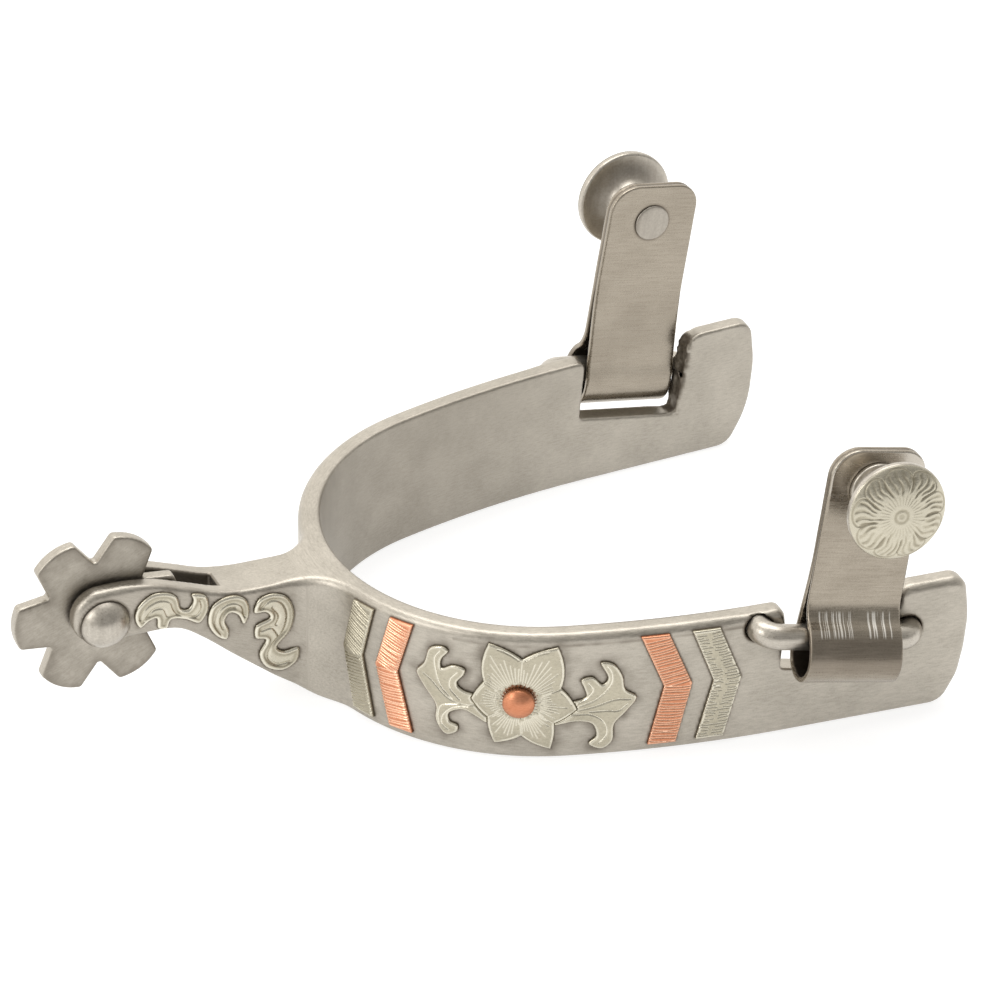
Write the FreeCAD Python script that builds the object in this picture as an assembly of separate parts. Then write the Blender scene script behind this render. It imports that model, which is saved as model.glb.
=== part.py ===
import FreeCAD, Part
import math
import os

# A right-hand Western spur: a heel band with a forked shank and a star rowel, two hinged strap
# hangers with buttons, and brazed silver and copper overlays on the outer branch.
# Millimetres. +X points from the heel to the toe, +Z up, and the outer (decorated) branch is -Y.
# The origin is on the band's bottom edge, in the middle of its thickness at the back of the heel.

Vec = FreeCAD.Vector

# ---- driving dimensions --------------------------------------------------------------------
band_height = 25.6            # a one-inch band
band_thickness = 4.0
heel_radius = 39.6            # inner face round the heel
heel_sweep = 74.0             # degrees each side of the back of the heel
branch_radius = 183.6         # inner face of the gently curved branches
splay = 3.5                   # degrees that the straight ends open outwards
branch_reach = 105.0          # x of the foremost point of a branch

pin_x, pin_z = -44.1, 24.4    # centre of the rowel
shank_width = 10.4
slot_width = 4.1
slot_end_x = -21.5
fork_lobe_radius = 5.5
fork_lobe_back, fork_lobe_up = 0.3, 1.0    # where the fork's rounded end stands from the pin
flare_radii = {-1: 7.5, 1: 5.0}    # hollow corners where the shank runs into the band

rowel_radius = 15.9           # a 1 1/4 inch rowel
rowel_root_radius = 10.5
rowel_thickness = 2.5
rowel_teeth = 6
rowel_first_notch = 91.0      # degrees from +X towards +Z
pin_radius = 2.4
pin_head_radius = 4.75
pin_head_height = 3.2
running_clearance = 0.06

hinge_x = 79.75                   # middle of the hinge rod
hinge_z = {"right": 19.7, "left": 18.5}
hinge_outside = 2.9               # rod's centre to the band's outer face
hinge_slope = 11.4                # degrees that the rod falls towards the toe
rod_radius = 2.4
rod_bend_radius = 3.0
rod_rear_leg, rod_front_leg = 15.6, 13.4
leg_hole_clearance = 0.35
leg_hole_depth = 2.6

hanger_half_width = 9.0
hanger_top = 36.5             # rod's centre to the hanger's top edge
hanger_rear_corner, hanger_front_corner = 5.4, 4.2
hanger_slide = 0.6                # loose on its rod, along it
hanger_lift = {"right": 0.0, "left": 1.2}     # loose on its rod, upwards
leaf_thickness = 1.0
leaf_gap = 0.1
leaf_middle = -0.9            # middle of the folded leaves, inwards of the rod
eye_outer_radius = 4.9
eye_out, eye_drop = 0.6, 3.3      # eye's centre from the rod's centre
outer_blend, inner_blend = 7.4, 17.0    # heights where each leaf starts to leave the other
leaf_over_rod = 0.4           # the outer leaf's clearance where it passes over the rod
hanger_lean = {"right": -5.4, "left": 2.6}    # degrees outwards at rest

button_height = 29.2          # rod's centre to the button's axis
button_radius = 9.25
button_face = 11.2            # leaves' middle to the front of the steel disc
button_rim = 1.5
neck_radius = 4.0
collar_radius = 5.2
collar_height = 1.2
cap_radius = 8.95
cap_height = 2.3
post_radius = 2.2
post_head_radius = 3.45       # rivet head on the inner leaf
post_head_height = 0.5

overlay_thickness = 0.75
far = 200.0                   # longer than anything here, for cutting tools

outer_heel_radius = heel_radius + band_thickness
outer_branch_radius = branch_radius + band_thickness
heel_centre_x = heel_radius + band_thickness / 2
sweep = math.radians(heel_sweep)
straight_angle = math.radians(90 - splay)
branch_centre = (heel_centre_x + (branch_radius - heel_radius) * math.cos(sweep),
                 (branch_radius - heel_radius) * math.sin(sweep))


# ---- the band's plan curve -----------------------------------------------------------------
def plan_direction(angle, side):
    """Outward normal in plan where it has turned by angle from the back of the heel."""
    return Vec(-math.cos(angle), side * math.sin(angle), 0)


def plan_point(angle, side, offset):
    """Point of the curved part of the inner face, moved outwards by offset."""
    if angle <= sweep:
        centre, radius = Vec(heel_centre_x, 0, 0), heel_radius
    else:
        centre, radius = Vec(branch_centre[0], -side * branch_centre[1], 0), branch_radius
    return centre + plan_direction(angle, side) * (radius + offset)


def straight_point(x, side, offset):
    """Point of the straight end of a branch at the given x."""
    start = plan_point(straight_angle, side, offset)
    return start + Vec(1, side * math.tan(math.radians(splay)), 0) * (x - start.x)


def outer_wall(s, side, lift=0.0):
    """Point and outward normal at length s along the outer face from the back of the heel."""
    heel_length = outer_heel_radius * sweep
    if s <= heel_length:
        angle = s / outer_heel_radius
    else:
        angle = sweep + (s - heel_length) / outer_branch_radius
    return plan_point(angle, side, band_thickness + lift), plan_direction(angle, side)


def plan_ribbon(inner, outer, height):
    """Solid between two offsets of the plan curve, from one branch's end to the other's."""
    def half(side, offset):
        heel_middle = plan_point(sweep / 2, side, offset)
        joint = plan_point(sweep, side, offset)
        branch_middle = plan_point((sweep + straight_angle) / 2, side, offset)
        end = plan_point(straight_angle, side, offset)
        apex = plan_point(0, side, offset)
        return [Part.Arc(apex, heel_middle, joint).toShape(),
                Part.Arc(joint, branch_middle, end).toShape(),
                Part.makeLine(end, straight_point(branch_reach + 5, side, offset))]
    edges = [edge for side in (-1, 1) for offset in (inner, outer) for edge in half(side, offset)]
    for side in (-1, 1):
        edges.append(Part.makeLine(straight_point(branch_reach + 5, side, inner),
                                   straight_point(branch_reach + 5, side, outer)))
    wire = Part.Wire(Part.__sortEdges__(edges))
    return Part.Face(wire).extrude(Vec(0, 0, height))


# ---- small helpers -------------------------------------------------------------------------
def polygon_wire(points):
    return Part.makePolygon(list(points) + [points[0]])


def smooth_loop(points):
    curve = Part.BSplineCurve()
    curve.interpolate(Points=list(points), PeriodicFlag=True)
    return Part.Wire(curve.toShape())


def rounded_wire(points, radii):
    """Closed wire through corner points, each corner rounded by its own radius (0 is sharp)."""
    count = len(points)
    edges, previous = [], None
    cuts = []
    for i in range(count):
        corner, before, after = points[i], points[i - 1], points[(i + 1) % count]
        if radii[i] == 0:
            cuts.append((corner, None, corner))
            continue
        a, b = (before - corner).normalize(), (after - corner).normalize()
        half_angle = a.getAngle(b) / 2
        reach = radii[i] / math.tan(half_angle)
        bisector = (a + b).normalize()
        centre = corner + bisector * (radii[i] / math.sin(half_angle))
        cuts.append((corner + a * reach, centre - bisector * radii[i], corner + b * reach))
    for i in range(count):
        start, middle, end = cuts[i]
        if previous is not None:
            edges.append(Part.makeLine(previous, start))
        if middle is not None:
            edges.append(Part.Arc(start, middle, end).toShape())
        previous = end
    edges.append(Part.makeLine(previous, cuts[0][0]))
    return Part.Wire(edges)


def side_points(pairs):
    """Points in the XZ plane, behind everything, ready to be extruded along +Y."""
    return [Vec(x, -far / 2, z) for x, z in pairs]


# ---- heel band -----------------------------------------------------------------------------
def side_name(side):
    return "right" if side < 0 else "left"


def hinge_frame(side):
    """Rod's centre, and the directions along the rod, outwards and up the upright hanger."""
    face = straight_point(hinge_x, side, band_thickness)
    outward = Vec(-math.sin(math.radians(splay)), side * math.cos(math.radians(splay)), 0)
    along_wall = Vec(math.cos(math.radians(splay)), side * math.sin(math.radians(splay)), 0)
    slope = math.radians(hinge_slope)
    along = along_wall * math.cos(slope) - Vec(0, 0, 1) * math.sin(slope)
    upright = along_wall * math.sin(slope) + Vec(0, 0, 1) * math.cos(slope)
    centre = face + outward * hinge_outside + Vec(0, 0, hinge_z[side_name(side)])
    return centre, along, outward, upright


def branch_outline():
    """Side view of the band: notched for the hanger, with a bowed and rounded front end."""
    corners = side_points([
        (-far / 2, 0), (99.6, 0), (103.9, 7.5), (branch_reach, 17.0), (104.3, band_height),
        (91.4, band_height), (88.5, 9.5), (68.6, 13.5), (69.8, band_height), (-far / 2, band_height)])
    radii = [0, 4.0, 20.0, 20.0, 3.0, 3.5, 1.8, 0.6, 1.6, 0]
    return rounded_wire(corners, radii)


def make_heel_band():
    ribbon = plan_ribbon(0, band_thickness, band_height)
    outline = Part.Face(branch_outline()).extrude(Vec(0, far, 0))
    band = ribbon.common(outline)
    for side in (-1, 1):
        centre, along, outward, upright = hinge_frame(side)
        for leg in (-rod_rear_leg, rod_front_leg):
            mouth = centre + along * leg - outward * hinge_outside
            hole = Part.makeCylinder(rod_radius + leg_hole_clearance, leg_hole_depth + 1,
                                     mouth + outward, outward * -1)
            band = band.cut(hole)
    return band


# ---- shank ---------------------------------------------------------------------------------
def shank_profile():
    """Side view: deep at the band, rising to a rounded fork round the rowel's pin."""
    lobe_x, lobe_z = pin_x - fork_lobe_back, pin_z + fork_lobe_up
    top = [(lobe_x + 1.5, lobe_z + fork_lobe_radius), (-39.5, 30.8), (-34.2, 30.0), (-27.6, 27.7),
           (-22.0, 25.7), (-15.6, 24.8), (-8.0, 24.9), (2.0, 25.5)]
    under = [(2.0, 0.0), (-3.5, 0.2), (-8.1, 3.0), (-13.8, 7.2), (-19.6, 11.9), (-25.2, 16.7),
             (-30.0, 19.8), (-36.0, 20.4), (lobe_x + 1.5, lobe_z - fork_lobe_radius)]
    top_curve, under_curve = Part.BSplineCurve(), Part.BSplineCurve()
    top_curve.interpolate(side_points(top))
    under_curve.interpolate(side_points(under))
    lobe = Part.Arc(side_points([under[-1]])[0],
                    side_points([(lobe_x - fork_lobe_radius, lobe_z)])[0],
                    side_points([top[0]])[0])
    back = Part.makeLine(side_points([top[-1]])[0], side_points([under[0]])[0])
    return Part.Wire([lobe.toShape(), top_curve.toShape(), back, under_curve.toShape()])


def shank_plan(lift=0.0):
    """Seen from above: parallel sides that flare in hollow arcs where they meet the band."""
    half = shank_width / 2
    edges = []
    for side, flare_radius in flare_radii.items():
        reach = outer_heel_radius + flare_radius - 0.4
        flare_x = heel_centre_x - math.sqrt(reach ** 2 - (half + flare_radius) ** 2)
        centre = Vec(flare_x, side * (half + flare_radius), 0)
        start = Vec(flare_x, side * (half + lift), 0)
        turn = math.radians(66)
        arc = [centre + Vec(math.sin(a), -side * math.cos(a), 0) * (flare_radius - lift)
               for a in (0, turn / 2, turn)]
        edges += [Part.makeLine(Vec(-far / 2, side * (half + lift), 0), start), Part.Arc(*arc).toShape(),
                  Part.makeLine(arc[2], Vec(4, arc[2].y, 0))]
    tips = [edges[2].Vertexes[-1].Point, edges[5].Vertexes[-1].Point]
    edges.append(Part.makeLine(*tips))
    edges.append(Part.makeLine(Vec(-far / 2, -half - lift, 0), Vec(-far / 2, half + lift, 0)))
    return Part.Wire(Part.__sortEdges__(edges))


def make_shank():
    block = Part.Face(shank_profile()).extrude(Vec(0, far, 0))
    plan = Part.Face(shank_plan()).extrude(Vec(0, 0, far / 2))
    inside = Part.makeCylinder(outer_heel_radius, far, Vec(heel_centre_x, 0, -far / 2))
    slot = Part.makeBox(far, slot_width, far, Vec(slot_end_x - far, -slot_width / 2, -far / 2))
    bore = Part.makeCylinder(pin_radius, far, Vec(pin_x, -far / 2, pin_z), Vec(0, 1, 0))
    return block.common(plan).cut(inside).cut(slot).cut(bore)


# ---- rowel and its pin ---------------------------------------------------------------------
def rowel_polar(radius, degrees):
    a = math.radians(degrees)
    return Vec(pin_x + radius * math.cos(a), -rowel_thickness / 2, pin_z + radius * math.sin(a))


def make_rowel():
    """Six blunt teeth with bowed ends, parted by V notches."""
    pitch = 360 / rowel_teeth
    notch_half = 14.0             # degrees from a notch's middle to the tooth's corner
    root_half = 1.6
    edges, last = [], None
    for i in range(rowel_teeth):
        notch = rowel_first_notch + i * pitch
        root = [rowel_polar(rowel_root_radius, notch + d) for d in (-root_half, 0, root_half)]
        corner_in = rowel_polar(rowel_radius - 0.5, notch - notch_half)
        corner_out = rowel_polar(rowel_radius - 0.5, notch + notch_half)
        tip = rowel_polar(rowel_radius, notch + pitch / 2)
        far_corner = rowel_polar(rowel_radius - 0.5, notch + pitch - notch_half)
        if last is None:
            last = corner_in
        edges += [Part.makeLine(last, root[0]), Part.Arc(*root).toShape(),
                  Part.makeLine(root[2], corner_out), Part.Arc(corner_out, tip, far_corner).toShape()]
        last = far_corner
    star = Part.Face(Part.Wire(edges)).extrude(Vec(0, rowel_thickness, 0))
    bore = Part.makeCylinder(pin_radius + running_clearance, far, Vec(pin_x, -far / 2, pin_z), Vec(0, 1, 0))
    return star.cut(bore)


def dome(radius, height, base, direction):
    """Solid cap of a sphere standing on a flat disc."""
    sphere_radius = (radius ** 2 + height ** 2) / (2 * height)
    centre = base + direction * (height - sphere_radius)
    ball = Part.makeSphere(sphere_radius, centre)
    disc = Part.makeCylinder(radius + 1, height + 1, base, direction)
    return ball.common(disc)


def make_rowel_pin():
    half = shank_width / 2
    pin = Part.makeCylinder(pin_radius, shank_width, Vec(pin_x, -half, pin_z), Vec(0, 1, 0))
    for side in (-1, 1):
        base = Vec(pin_x, side * half, pin_z)
        pin = pin.fuse(dome(pin_head_radius, pin_head_height, base, Vec(0, side, 0)))
    return pin.removeSplitter()


# ---- hinge staples -------------------------------------------------------------------------
def make_staple(side):
    """Bent rod: its two legs stand in the band's blind holes and its bridge spans the notch."""
    centre, along, outward, upright = hinge_frame(side)
    inner = hinge_outside + leg_hole_depth
    bend = min(rod_bend_radius, inner - 0.5)
    corners = [centre - along * rod_rear_leg, centre + along * rod_front_leg]
    ends = [corner - outward * inner for corner in corners]
    starts = [corner - outward * bend for corner in corners]
    insets = [corners[0] + along * bend, corners[1] - along * bend]
    diagonal = bend * (1 - math.sqrt(0.5))
    middles = [corners[0] + (along - outward) * diagonal, corners[1] + (along + outward) * -diagonal]
    path = Part.Wire([Part.makeLine(ends[0], starts[0]),
                      Part.Arc(starts[0], middles[0], insets[0]).toShape(),
                      Part.makeLine(insets[0], insets[1]),
                      Part.Arc(insets[1], middles[1], starts[1]).toShape(),
                      Part.makeLine(starts[1], ends[1])])
    section = Part.Wire(Part.makeCircle(rod_radius, ends[0], outward))
    return path.makePipeShell([section], True, False)


# ---- hangers -------------------------------------------------------------------------------
def leaned(side):
    """The hinge frame with the hanger at its resting lean."""
    centre, along, outward, upright = hinge_frame(side)
    name = side_name(side)
    centre = centre + along * hanger_slide + Vec(0, 0, hanger_lift[name])
    lean = math.radians(hanger_lean[name])
    up = upright * math.cos(lean) + outward * math.sin(lean)
    out = outward * math.cos(lean) - upright * math.sin(lean)
    return centre, along, out, up


def eye_wire(place, radius, half_gap, top):
    """Side view of the fold: two straight leaves that open into a round eye round the rod."""
    outer_degrees, inner_degrees = 14, 180
    inner_n, outer_n = leaf_middle - half_gap, leaf_middle + half_gap

    def on_circle(degrees):
        a = math.radians(degrees)
        return place(eye_out + radius * math.cos(a), radius * math.sin(a) - eye_drop)
    outer_start, inner_end = on_circle(outer_degrees), on_circle(inner_degrees)
    over_rod = radius - eye_outer_radius + leaf_thickness + rod_radius + leaf_over_rod
    knuckle = [place(over_rod * math.cos(a), over_rod * math.sin(a))
               for a in (math.radians(62), math.radians(36), math.radians(160))]
    flare_out, flare_in = Part.BSplineCurve(), Part.BSplineCurve()
    up = place(0, 1) - place(0, 0)

    def tangent(degrees):
        a = math.radians(degrees)
        return place(math.sin(a), -math.cos(a)) - place(0, 0)
    free = Vec(1, 0, 0)
    flare_out.interpolate(Points=[place(outer_n, outer_blend), knuckle[0], knuckle[1], outer_start],
                          Tangents=[up * -1, free, free, tangent(outer_degrees)],
                          TangentFlags=[True, False, False, True])
    flare_in.interpolate(Points=[inner_end, knuckle[2], place(inner_n, inner_blend)],
                         Tangents=[tangent(inner_degrees), free, up],
                         TangentFlags=[True, False, True])
    round_eye = Part.Arc(outer_start, on_circle(-90), inner_end)
    return Part.Wire([Part.makeLine(place(inner_n, inner_blend), place(inner_n, top)),
                      Part.makeLine(place(inner_n, top), place(outer_n, top)),
                      Part.makeLine(place(outer_n, top), place(outer_n, outer_blend)),
                      flare_out.toShape(), round_eye.toShape(), flare_in.toShape()])


def make_hanger(side):
    centre, along, out, up = leaned(side)

    def place(n, w):
        return centre - along * hanger_half_width + out * n + up * w
    width = along * (2 * hanger_half_width)
    outside = Part.Face(eye_wire(place, eye_outer_radius, leaf_gap / 2 + leaf_thickness, hanger_top))
    inside = Part.Face(eye_wire(place, eye_outer_radius - leaf_thickness, leaf_gap / 2, hanger_top + 5))
    strap = outside.extrude(width).cut(inside.extrude(width))
    base = centre - out * 20
    corners = [base + along * (t * hanger_half_width) + up * w
               for t, w in ((-1, -20), (1, -20), (1, hanger_top), (-1, hanger_top))]
    rounded = rounded_wire(corners, [0, 0, hanger_front_corner, hanger_rear_corner])
    front = Part.Face(rounded).extrude(out * 40)
    strap = strap.common(front)
    axis_point = button_base(side)[0]
    return strap.cut(Part.makeCylinder(post_radius + running_clearance, 10, axis_point - out * 5, out))


# ---- buttons -------------------------------------------------------------------------------
def button_base(side):
    """Middle of the leaves on the button's axis, and the axis outwards."""
    centre, along, out, up = leaned(side)
    return centre + up * button_height + out * leaf_middle, out


def turned(side, outline):
    """Solid turned about the button's axis from (radius, distance from the leaves' middle) pairs."""
    along = leaned(side)[1]
    base, out = button_base(side)
    edges = []
    for kind, pairs in outline:
        points = [base + along * r + out * n for r, n in pairs]
        edges.append(Part.makeLine(*points) if kind == "line" else Part.Arc(*points).toShape())
    return Part.Face(Part.Wire(edges)).revolve(base, out, 360)


def make_button(side):
    """Rivet head and post, collar, waisted neck and dished disc, all one turned steel piece."""
    seat = leaf_gap / 2 + leaf_thickness + 0.05
    end_back = -(seat + post_head_height)
    rim_back = button_face - button_rim
    neck_end = rim_back - 3.4
    return turned(side, [
        ("line", [(0, end_back), (post_head_radius - 0.2, end_back)]),
        ("line", [(post_head_radius - 0.2, end_back), (post_head_radius, end_back + 0.2)]),
        ("line", [(post_head_radius, end_back + 0.2), (post_head_radius, -seat)]),
        ("line", [(post_head_radius, -seat), (post_radius, -seat)]),
        ("line", [(post_radius, -seat), (post_radius, seat)]),
        ("line", [(post_radius, seat), (collar_radius, seat)]),
        ("line", [(collar_radius, seat), (collar_radius, seat + collar_height)]),
        ("line", [(collar_radius, seat + collar_height), (neck_radius, seat + collar_height + 0.6)]),
        ("line", [(neck_radius, seat + collar_height + 0.6), (neck_radius, neck_end)]),
        ("arc", [(neck_radius, neck_end), (neck_radius + 1.2, neck_end + 2.2),
                 (button_radius - 1.2, rim_back)]),
        ("line", [(button_radius - 1.2, rim_back), (button_radius, rim_back)]),
        ("line", [(button_radius, rim_back), (button_radius, button_face)]),
        ("line", [(button_radius, button_face), (0, button_face)]),
        ("line", [(0, button_face), (0, end_back)])])


def make_button_cap(side):
    base, out = button_base(side)
    return dome(cap_radius, cap_height, base + out * button_face, out)


# ---- overlays on the outer branch ----------------------------------------------------------
def wall_overlay(outline, middle_s):
    """Plate brazed to the curved wall: outline(u, z) is cut square to the wall at middle_s."""
    normal = outer_wall(middle_s, -1)[1]
    ring = plan_ribbon(band_thickness, band_thickness + overlay_thickness, band_height)
    block = Part.Face(outline).extrude(normal * 20)
    return ring.common(block)


def wall_points(pairs, middle_s):
    """Points (s, z) of the wall moved square to it, to one plane just inside the wall."""
    centre, normal = outer_wall(middle_s, -1)
    plane = centre - normal * 12
    points = []
    for s, z in pairs:
        point = outer_wall(s, -1)[0] + Vec(0, 0, z)
        points.append(point - normal * (point - plane).dot(normal))
    return points


def make_chevron(top, middle, bottom, width):
    """Bent bar across the band: s of its left edge at the top, at its bend and at the bottom."""
    heights = (24.4, 13.6, 1.6)
    pairs = list(zip((top, middle, bottom), heights))
    pairs += [(s + width, z) for s, z in reversed(pairs)]
    middle_s = middle + width / 2
    return wall_overlay(polygon_wire(wall_points(pairs, middle_s)), middle_s)


def make_flower():
    """Six pointed petals: each side of a petal is an arc between a notch and a tip."""
    tips = [(58, 13.3), (115, 12.9), (182, 8.7), (244, 10.2), (299, 11.6), (349, 10.6)]
    notches = [(19, 8.0), (86, 8.8), (151, 7.3), (214, 6.9), (273, 7.4), (323, 7.9)]
    bow = -0.02

    def petal_point(degrees, radius):
        a = math.radians(degrees)
        return (flower_s + radius * math.cos(a), flower_z + radius * math.sin(a))
    edges = []
    for i, tip in enumerate(tips):
        before, after = notches[i], notches[(i + 1) % len(notches)]
        for start, end in ((before, tip), (tip, after)):
            turn = (end[0] - start[0]) % 360
            between = (start[0] + turn / 2, (start[1] + end[1]) / 2 * (1 + bow))
            points = wall_points([petal_point(*p) for p in (start, between, end)], flower_s)
            edges.append(Part.Arc(*points).toShape())
    return wall_overlay(Part.Wire(edges), flower_s)


flower_s, flower_z = 48.1, 12.3
rear_spray = [(40.8, 12.6), (38.0, 13.3), (36.8, 14.6), (38.1, 16.5), (38.2, 17.9), (35.9, 18.2),
              (33.9, 17.2), (33.9, 19.0), (35.2, 20.9), (33.9, 21.7), (31.5, 20.8), (30.5, 17.6),
              (28.9, 15.3), (30.3, 12.6), (32.7, 9.2), (32.7, 6.0), (34.5, 3.4), (36.7, 4.2),
              (36.9, 5.7), (35.4, 6.3), (35.4, 8.0), (37.9, 9.2),
              (40.2, 8.3), (42.5, 7.1), (44.2, 8.4), (43.0, 11.0)]
front_spray = [(54.9, 11.8), (57.7, 12.0), (60.0, 12.7), (59.7, 14.6), (59.2, 16.4), (61.3, 16.9),
               (63.0, 15.2), (64.0, 16.6), (62.7, 19.7), (65.1, 19.3), (66.7, 16.6), (67.2, 13.8),
               (69.3, 11.9), (67.3, 9.0), (65.2, 6.6), (64.9, 3.2), (62.9, 1.6), (60.5, 2.8),
               (61.9, 4.4), (61.1, 7.0), (58.1, 7.7), (54.9, 7.2),
               (52.5, 7.3), (52.8, 10.4)]
# outlines on the side of the shank, as (x, z)
scroll_rear = [(-38.6, 24.6), (-37.7, 26.9), (-35.2, 28.6), (-32.2, 28.3), (-30.4, 26.9),
               (-29.8, 24.6), (-28.4, 24.0), (-27.4, 25.4), (-27.6, 26.9), (-25.2, 26.2),
               (-24.4, 24.4), (-24.9, 22.2), (-26.4, 20.6), (-28.9, 22.0), (-31.6, 22.6),
               (-32.5, 21.0), (-34.2, 21.4), (-34.4, 23.4), (-36.0, 23.2), (-37.6, 22.2)]
scroll_middle = [(-24.0, 23.2), (-21.8, 24.6), (-19.0, 24.6), (-17.0, 23.0), (-16.7, 20.2),
                 (-17.8, 18.3), (-18.8, 20.4), (-20.4, 21.3), (-21.4, 19.8), (-20.6, 17.6),
                 (-21.2, 15.9), (-23.2, 17.2), (-24.6, 20.0)]
scroll_front = [(-15.8, 20.2), (-14.8, 22.8), (-12.0, 23.4), (-9.2, 22.0), (-8.0, 18.6),
                (-8.8, 15.0), (-11.4, 12.2), (-10.0, 10.8), (-7.2, 11.0), (-7.6, 8.2),
                (-10.4, 6.8), (-13.6, 8.2), (-14.9, 11.2), (-13.6, 13.9), (-15.6, 14.8),
                (-15.4, 17.4), (-12.8, 18.4), (-13.6, 19.8)]


def make_spray(pairs):
    middle_s = sum(s for s, z in pairs) / len(pairs)
    spray = wall_overlay(smooth_loop(wall_points(pairs, middle_s)), middle_s)
    return spray.cut(make_flower())


def make_flower_centre():
    base, normal = outer_wall(flower_s, -1, overlay_thickness)
    seat = Part.makeCylinder(2.9, 1.0, base + Vec(0, 0, flower_z) - normal * 0.2, normal)
    return seat.fuse(dome(2.9, 1.5, base + Vec(0, 0, flower_z) + normal * 0.8, normal)).removeSplitter()


def make_scroll(pairs):
    wire = smooth_loop([Vec(x, -far / 2, z) for x, z in pairs])
    block = Part.Face(wire).extrude(Vec(0, far / 2, 0))
    lifted = Part.Face(shank_plan(overlay_thickness)).extrude(Vec(0, 0, far / 2))
    solid = Part.Face(shank_plan()).extrude(Vec(0, 0, far / 2))
    return block.common(lifted).cut(solid)


# ---- all the pieces ------------------------------------------------------------------------
def make_all():
    pieces = {"heel_band": make_heel_band(), "shank": make_shank(),
              "rowel": make_rowel(), "rowel_pin": make_rowel_pin()}
    for name, side in (("right", -1), ("left", 1)):
        pieces[name + "_hinge_staple"] = make_staple(side)
        pieces[name + "_hanger"] = make_hanger(side)
        pieces[name + "_button"] = make_button(side)
        pieces[name + "_button_cap"] = make_button_cap(side)
    pieces["silver_chevron_rear"] = make_chevron(14.4, 11.5, 14.2, 5.1)
    pieces["copper_chevron_rear"] = make_chevron(23.2, 19.9, 23.0, 5.0)
    pieces["copper_chevron_front"] = make_chevron(70.0, 74.2, 71.2, 5.2)
    pieces["silver_chevron_front"] = make_chevron(79.4, 83.3, 80.0, 5.2)
    centre = make_flower_centre()
    pieces["flower"] = make_flower().cut(centre)
    pieces["flower_centre"] = centre
    pieces["leaf_spray_rear"] = make_spray(rear_spray)
    pieces["leaf_spray_front"] = make_spray(front_spray)
    pieces["shank_scroll_rear"] = make_scroll(scroll_rear)
    pieces["shank_scroll_middle"] = make_scroll(scroll_middle)
    pieces["shank_scroll_front"] = make_scroll(scroll_front)
    return pieces


os.makedirs("parts", exist_ok=True)
for node, shape in make_all().items():
    shape.exportStep("parts/" + node + ".step")
    box = shape.BoundBox
    print(node, shape.isValid(), len(shape.Solids), round(shape.Volume, 1),
          [round(v, 1) for v in (box.XMin, box.YMin, box.ZMin, box.XMax, box.YMax, box.ZMax)])
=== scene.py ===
import math

import bpy
import numpy as np
from mathutils import Matrix, Vector


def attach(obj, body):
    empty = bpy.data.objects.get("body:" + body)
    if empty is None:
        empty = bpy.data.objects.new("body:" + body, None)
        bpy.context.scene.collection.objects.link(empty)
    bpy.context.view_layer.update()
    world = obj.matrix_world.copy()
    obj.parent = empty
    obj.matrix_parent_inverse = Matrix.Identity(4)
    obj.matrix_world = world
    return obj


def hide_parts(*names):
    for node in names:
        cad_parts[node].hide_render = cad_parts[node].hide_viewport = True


# A right-hand Western spur. Lengths are in millimetres until a mesh is made, then metres.
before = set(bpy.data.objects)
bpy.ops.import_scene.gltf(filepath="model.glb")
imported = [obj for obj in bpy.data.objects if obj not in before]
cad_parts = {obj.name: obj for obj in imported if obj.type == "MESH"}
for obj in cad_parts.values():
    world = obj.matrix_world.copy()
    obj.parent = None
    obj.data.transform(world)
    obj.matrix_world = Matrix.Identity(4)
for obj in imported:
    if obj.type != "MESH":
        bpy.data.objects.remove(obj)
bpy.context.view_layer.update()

MM = 0.001
rng = np.random.default_rng(11)

# ---- dimensions shared with the CAD part ---------------------------------------------------
BAND_H, BAND_T = 25.6, 4.0
HEEL_R, HEEL_SWEEP = 39.6, math.radians(74.0)
BRANCH_R, SPLAY = 183.6, math.radians(3.5)
STRAIGHT = math.radians(90) - SPLAY
HEEL_X = HEEL_R + BAND_T / 2
OUTER_HEEL_R, OUTER_BRANCH_R = HEEL_R + BAND_T, BRANCH_R + BAND_T
HEEL_END = OUTER_HEEL_R * HEEL_SWEEP
BRANCH_C = (HEEL_X + (BRANCH_R - HEEL_R) * math.cos(HEEL_SWEEP),
            -(BRANCH_R - HEEL_R) * math.sin(HEEL_SWEEP))
TIP_START = (BRANCH_C[0] - math.cos(STRAIGHT) * BRANCH_R, BRANCH_C[1] + math.sin(STRAIGHT) * BRANCH_R)
BRANCH_END = 104.9
PIN_X, PIN_Z = -44.1, 24.4
PIN_R, PIN_HEAD_R, PIN_HEAD_H = 2.4, 4.75, 3.2
ROWEL_R, ROWEL_SHOULDER, ROWEL_ROOT = 15.85, 15.4, 10.5
ROWEL_HALF, ROWEL_BORE = 1.25, 2.46
SHANK_HALF = 5.2
LOBE_X, LOBE_Z, LOBE_R = PIN_X - 0.3, PIN_Z + 1.0, 5.5
SLOT_HALF, SLOT_END = 2.05, -21.5
FLARE_NEAR, FLARE_FAR = 7.5, 5.0
HINGE_X, HINGE_OUT = 79.75, 2.9
HINGE_Z = {-1: 19.7, 1: 18.5}
HINGE_SLOPE = math.radians(11.4)
ROD_R, ROD_BEND, ROD_REAR, ROD_FRONT = 2.4, 3.0, 15.6, 13.4
STAPLE_HOLE_R, STAPLE_HOLE_DEPTH = 2.6, 2.6
HANGER_HALF, HANGER_TOP = 9.0, 36.5
HANGER_SLIDE = 0.6
HANGER_LIFT = {-1: 0.0, 1: 1.2}
LEAN = {-1: math.radians(-5.4), 1: math.radians(2.6)}
LEAF_T, LEAF_GAP, LEAF_MID = 1.0, 0.1, -0.9
EYE_R, EYE_OUT, EYE_DROP = 4.9, 0.6, 3.3
OUTER_BLEND, INNER_BLEND = 7.4, 17.0
BUTTON_W, BUTTON_R, BUTTON_FACE, BUTTON_RIM = 29.2, 9.25, 11.2, 1.5
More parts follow.
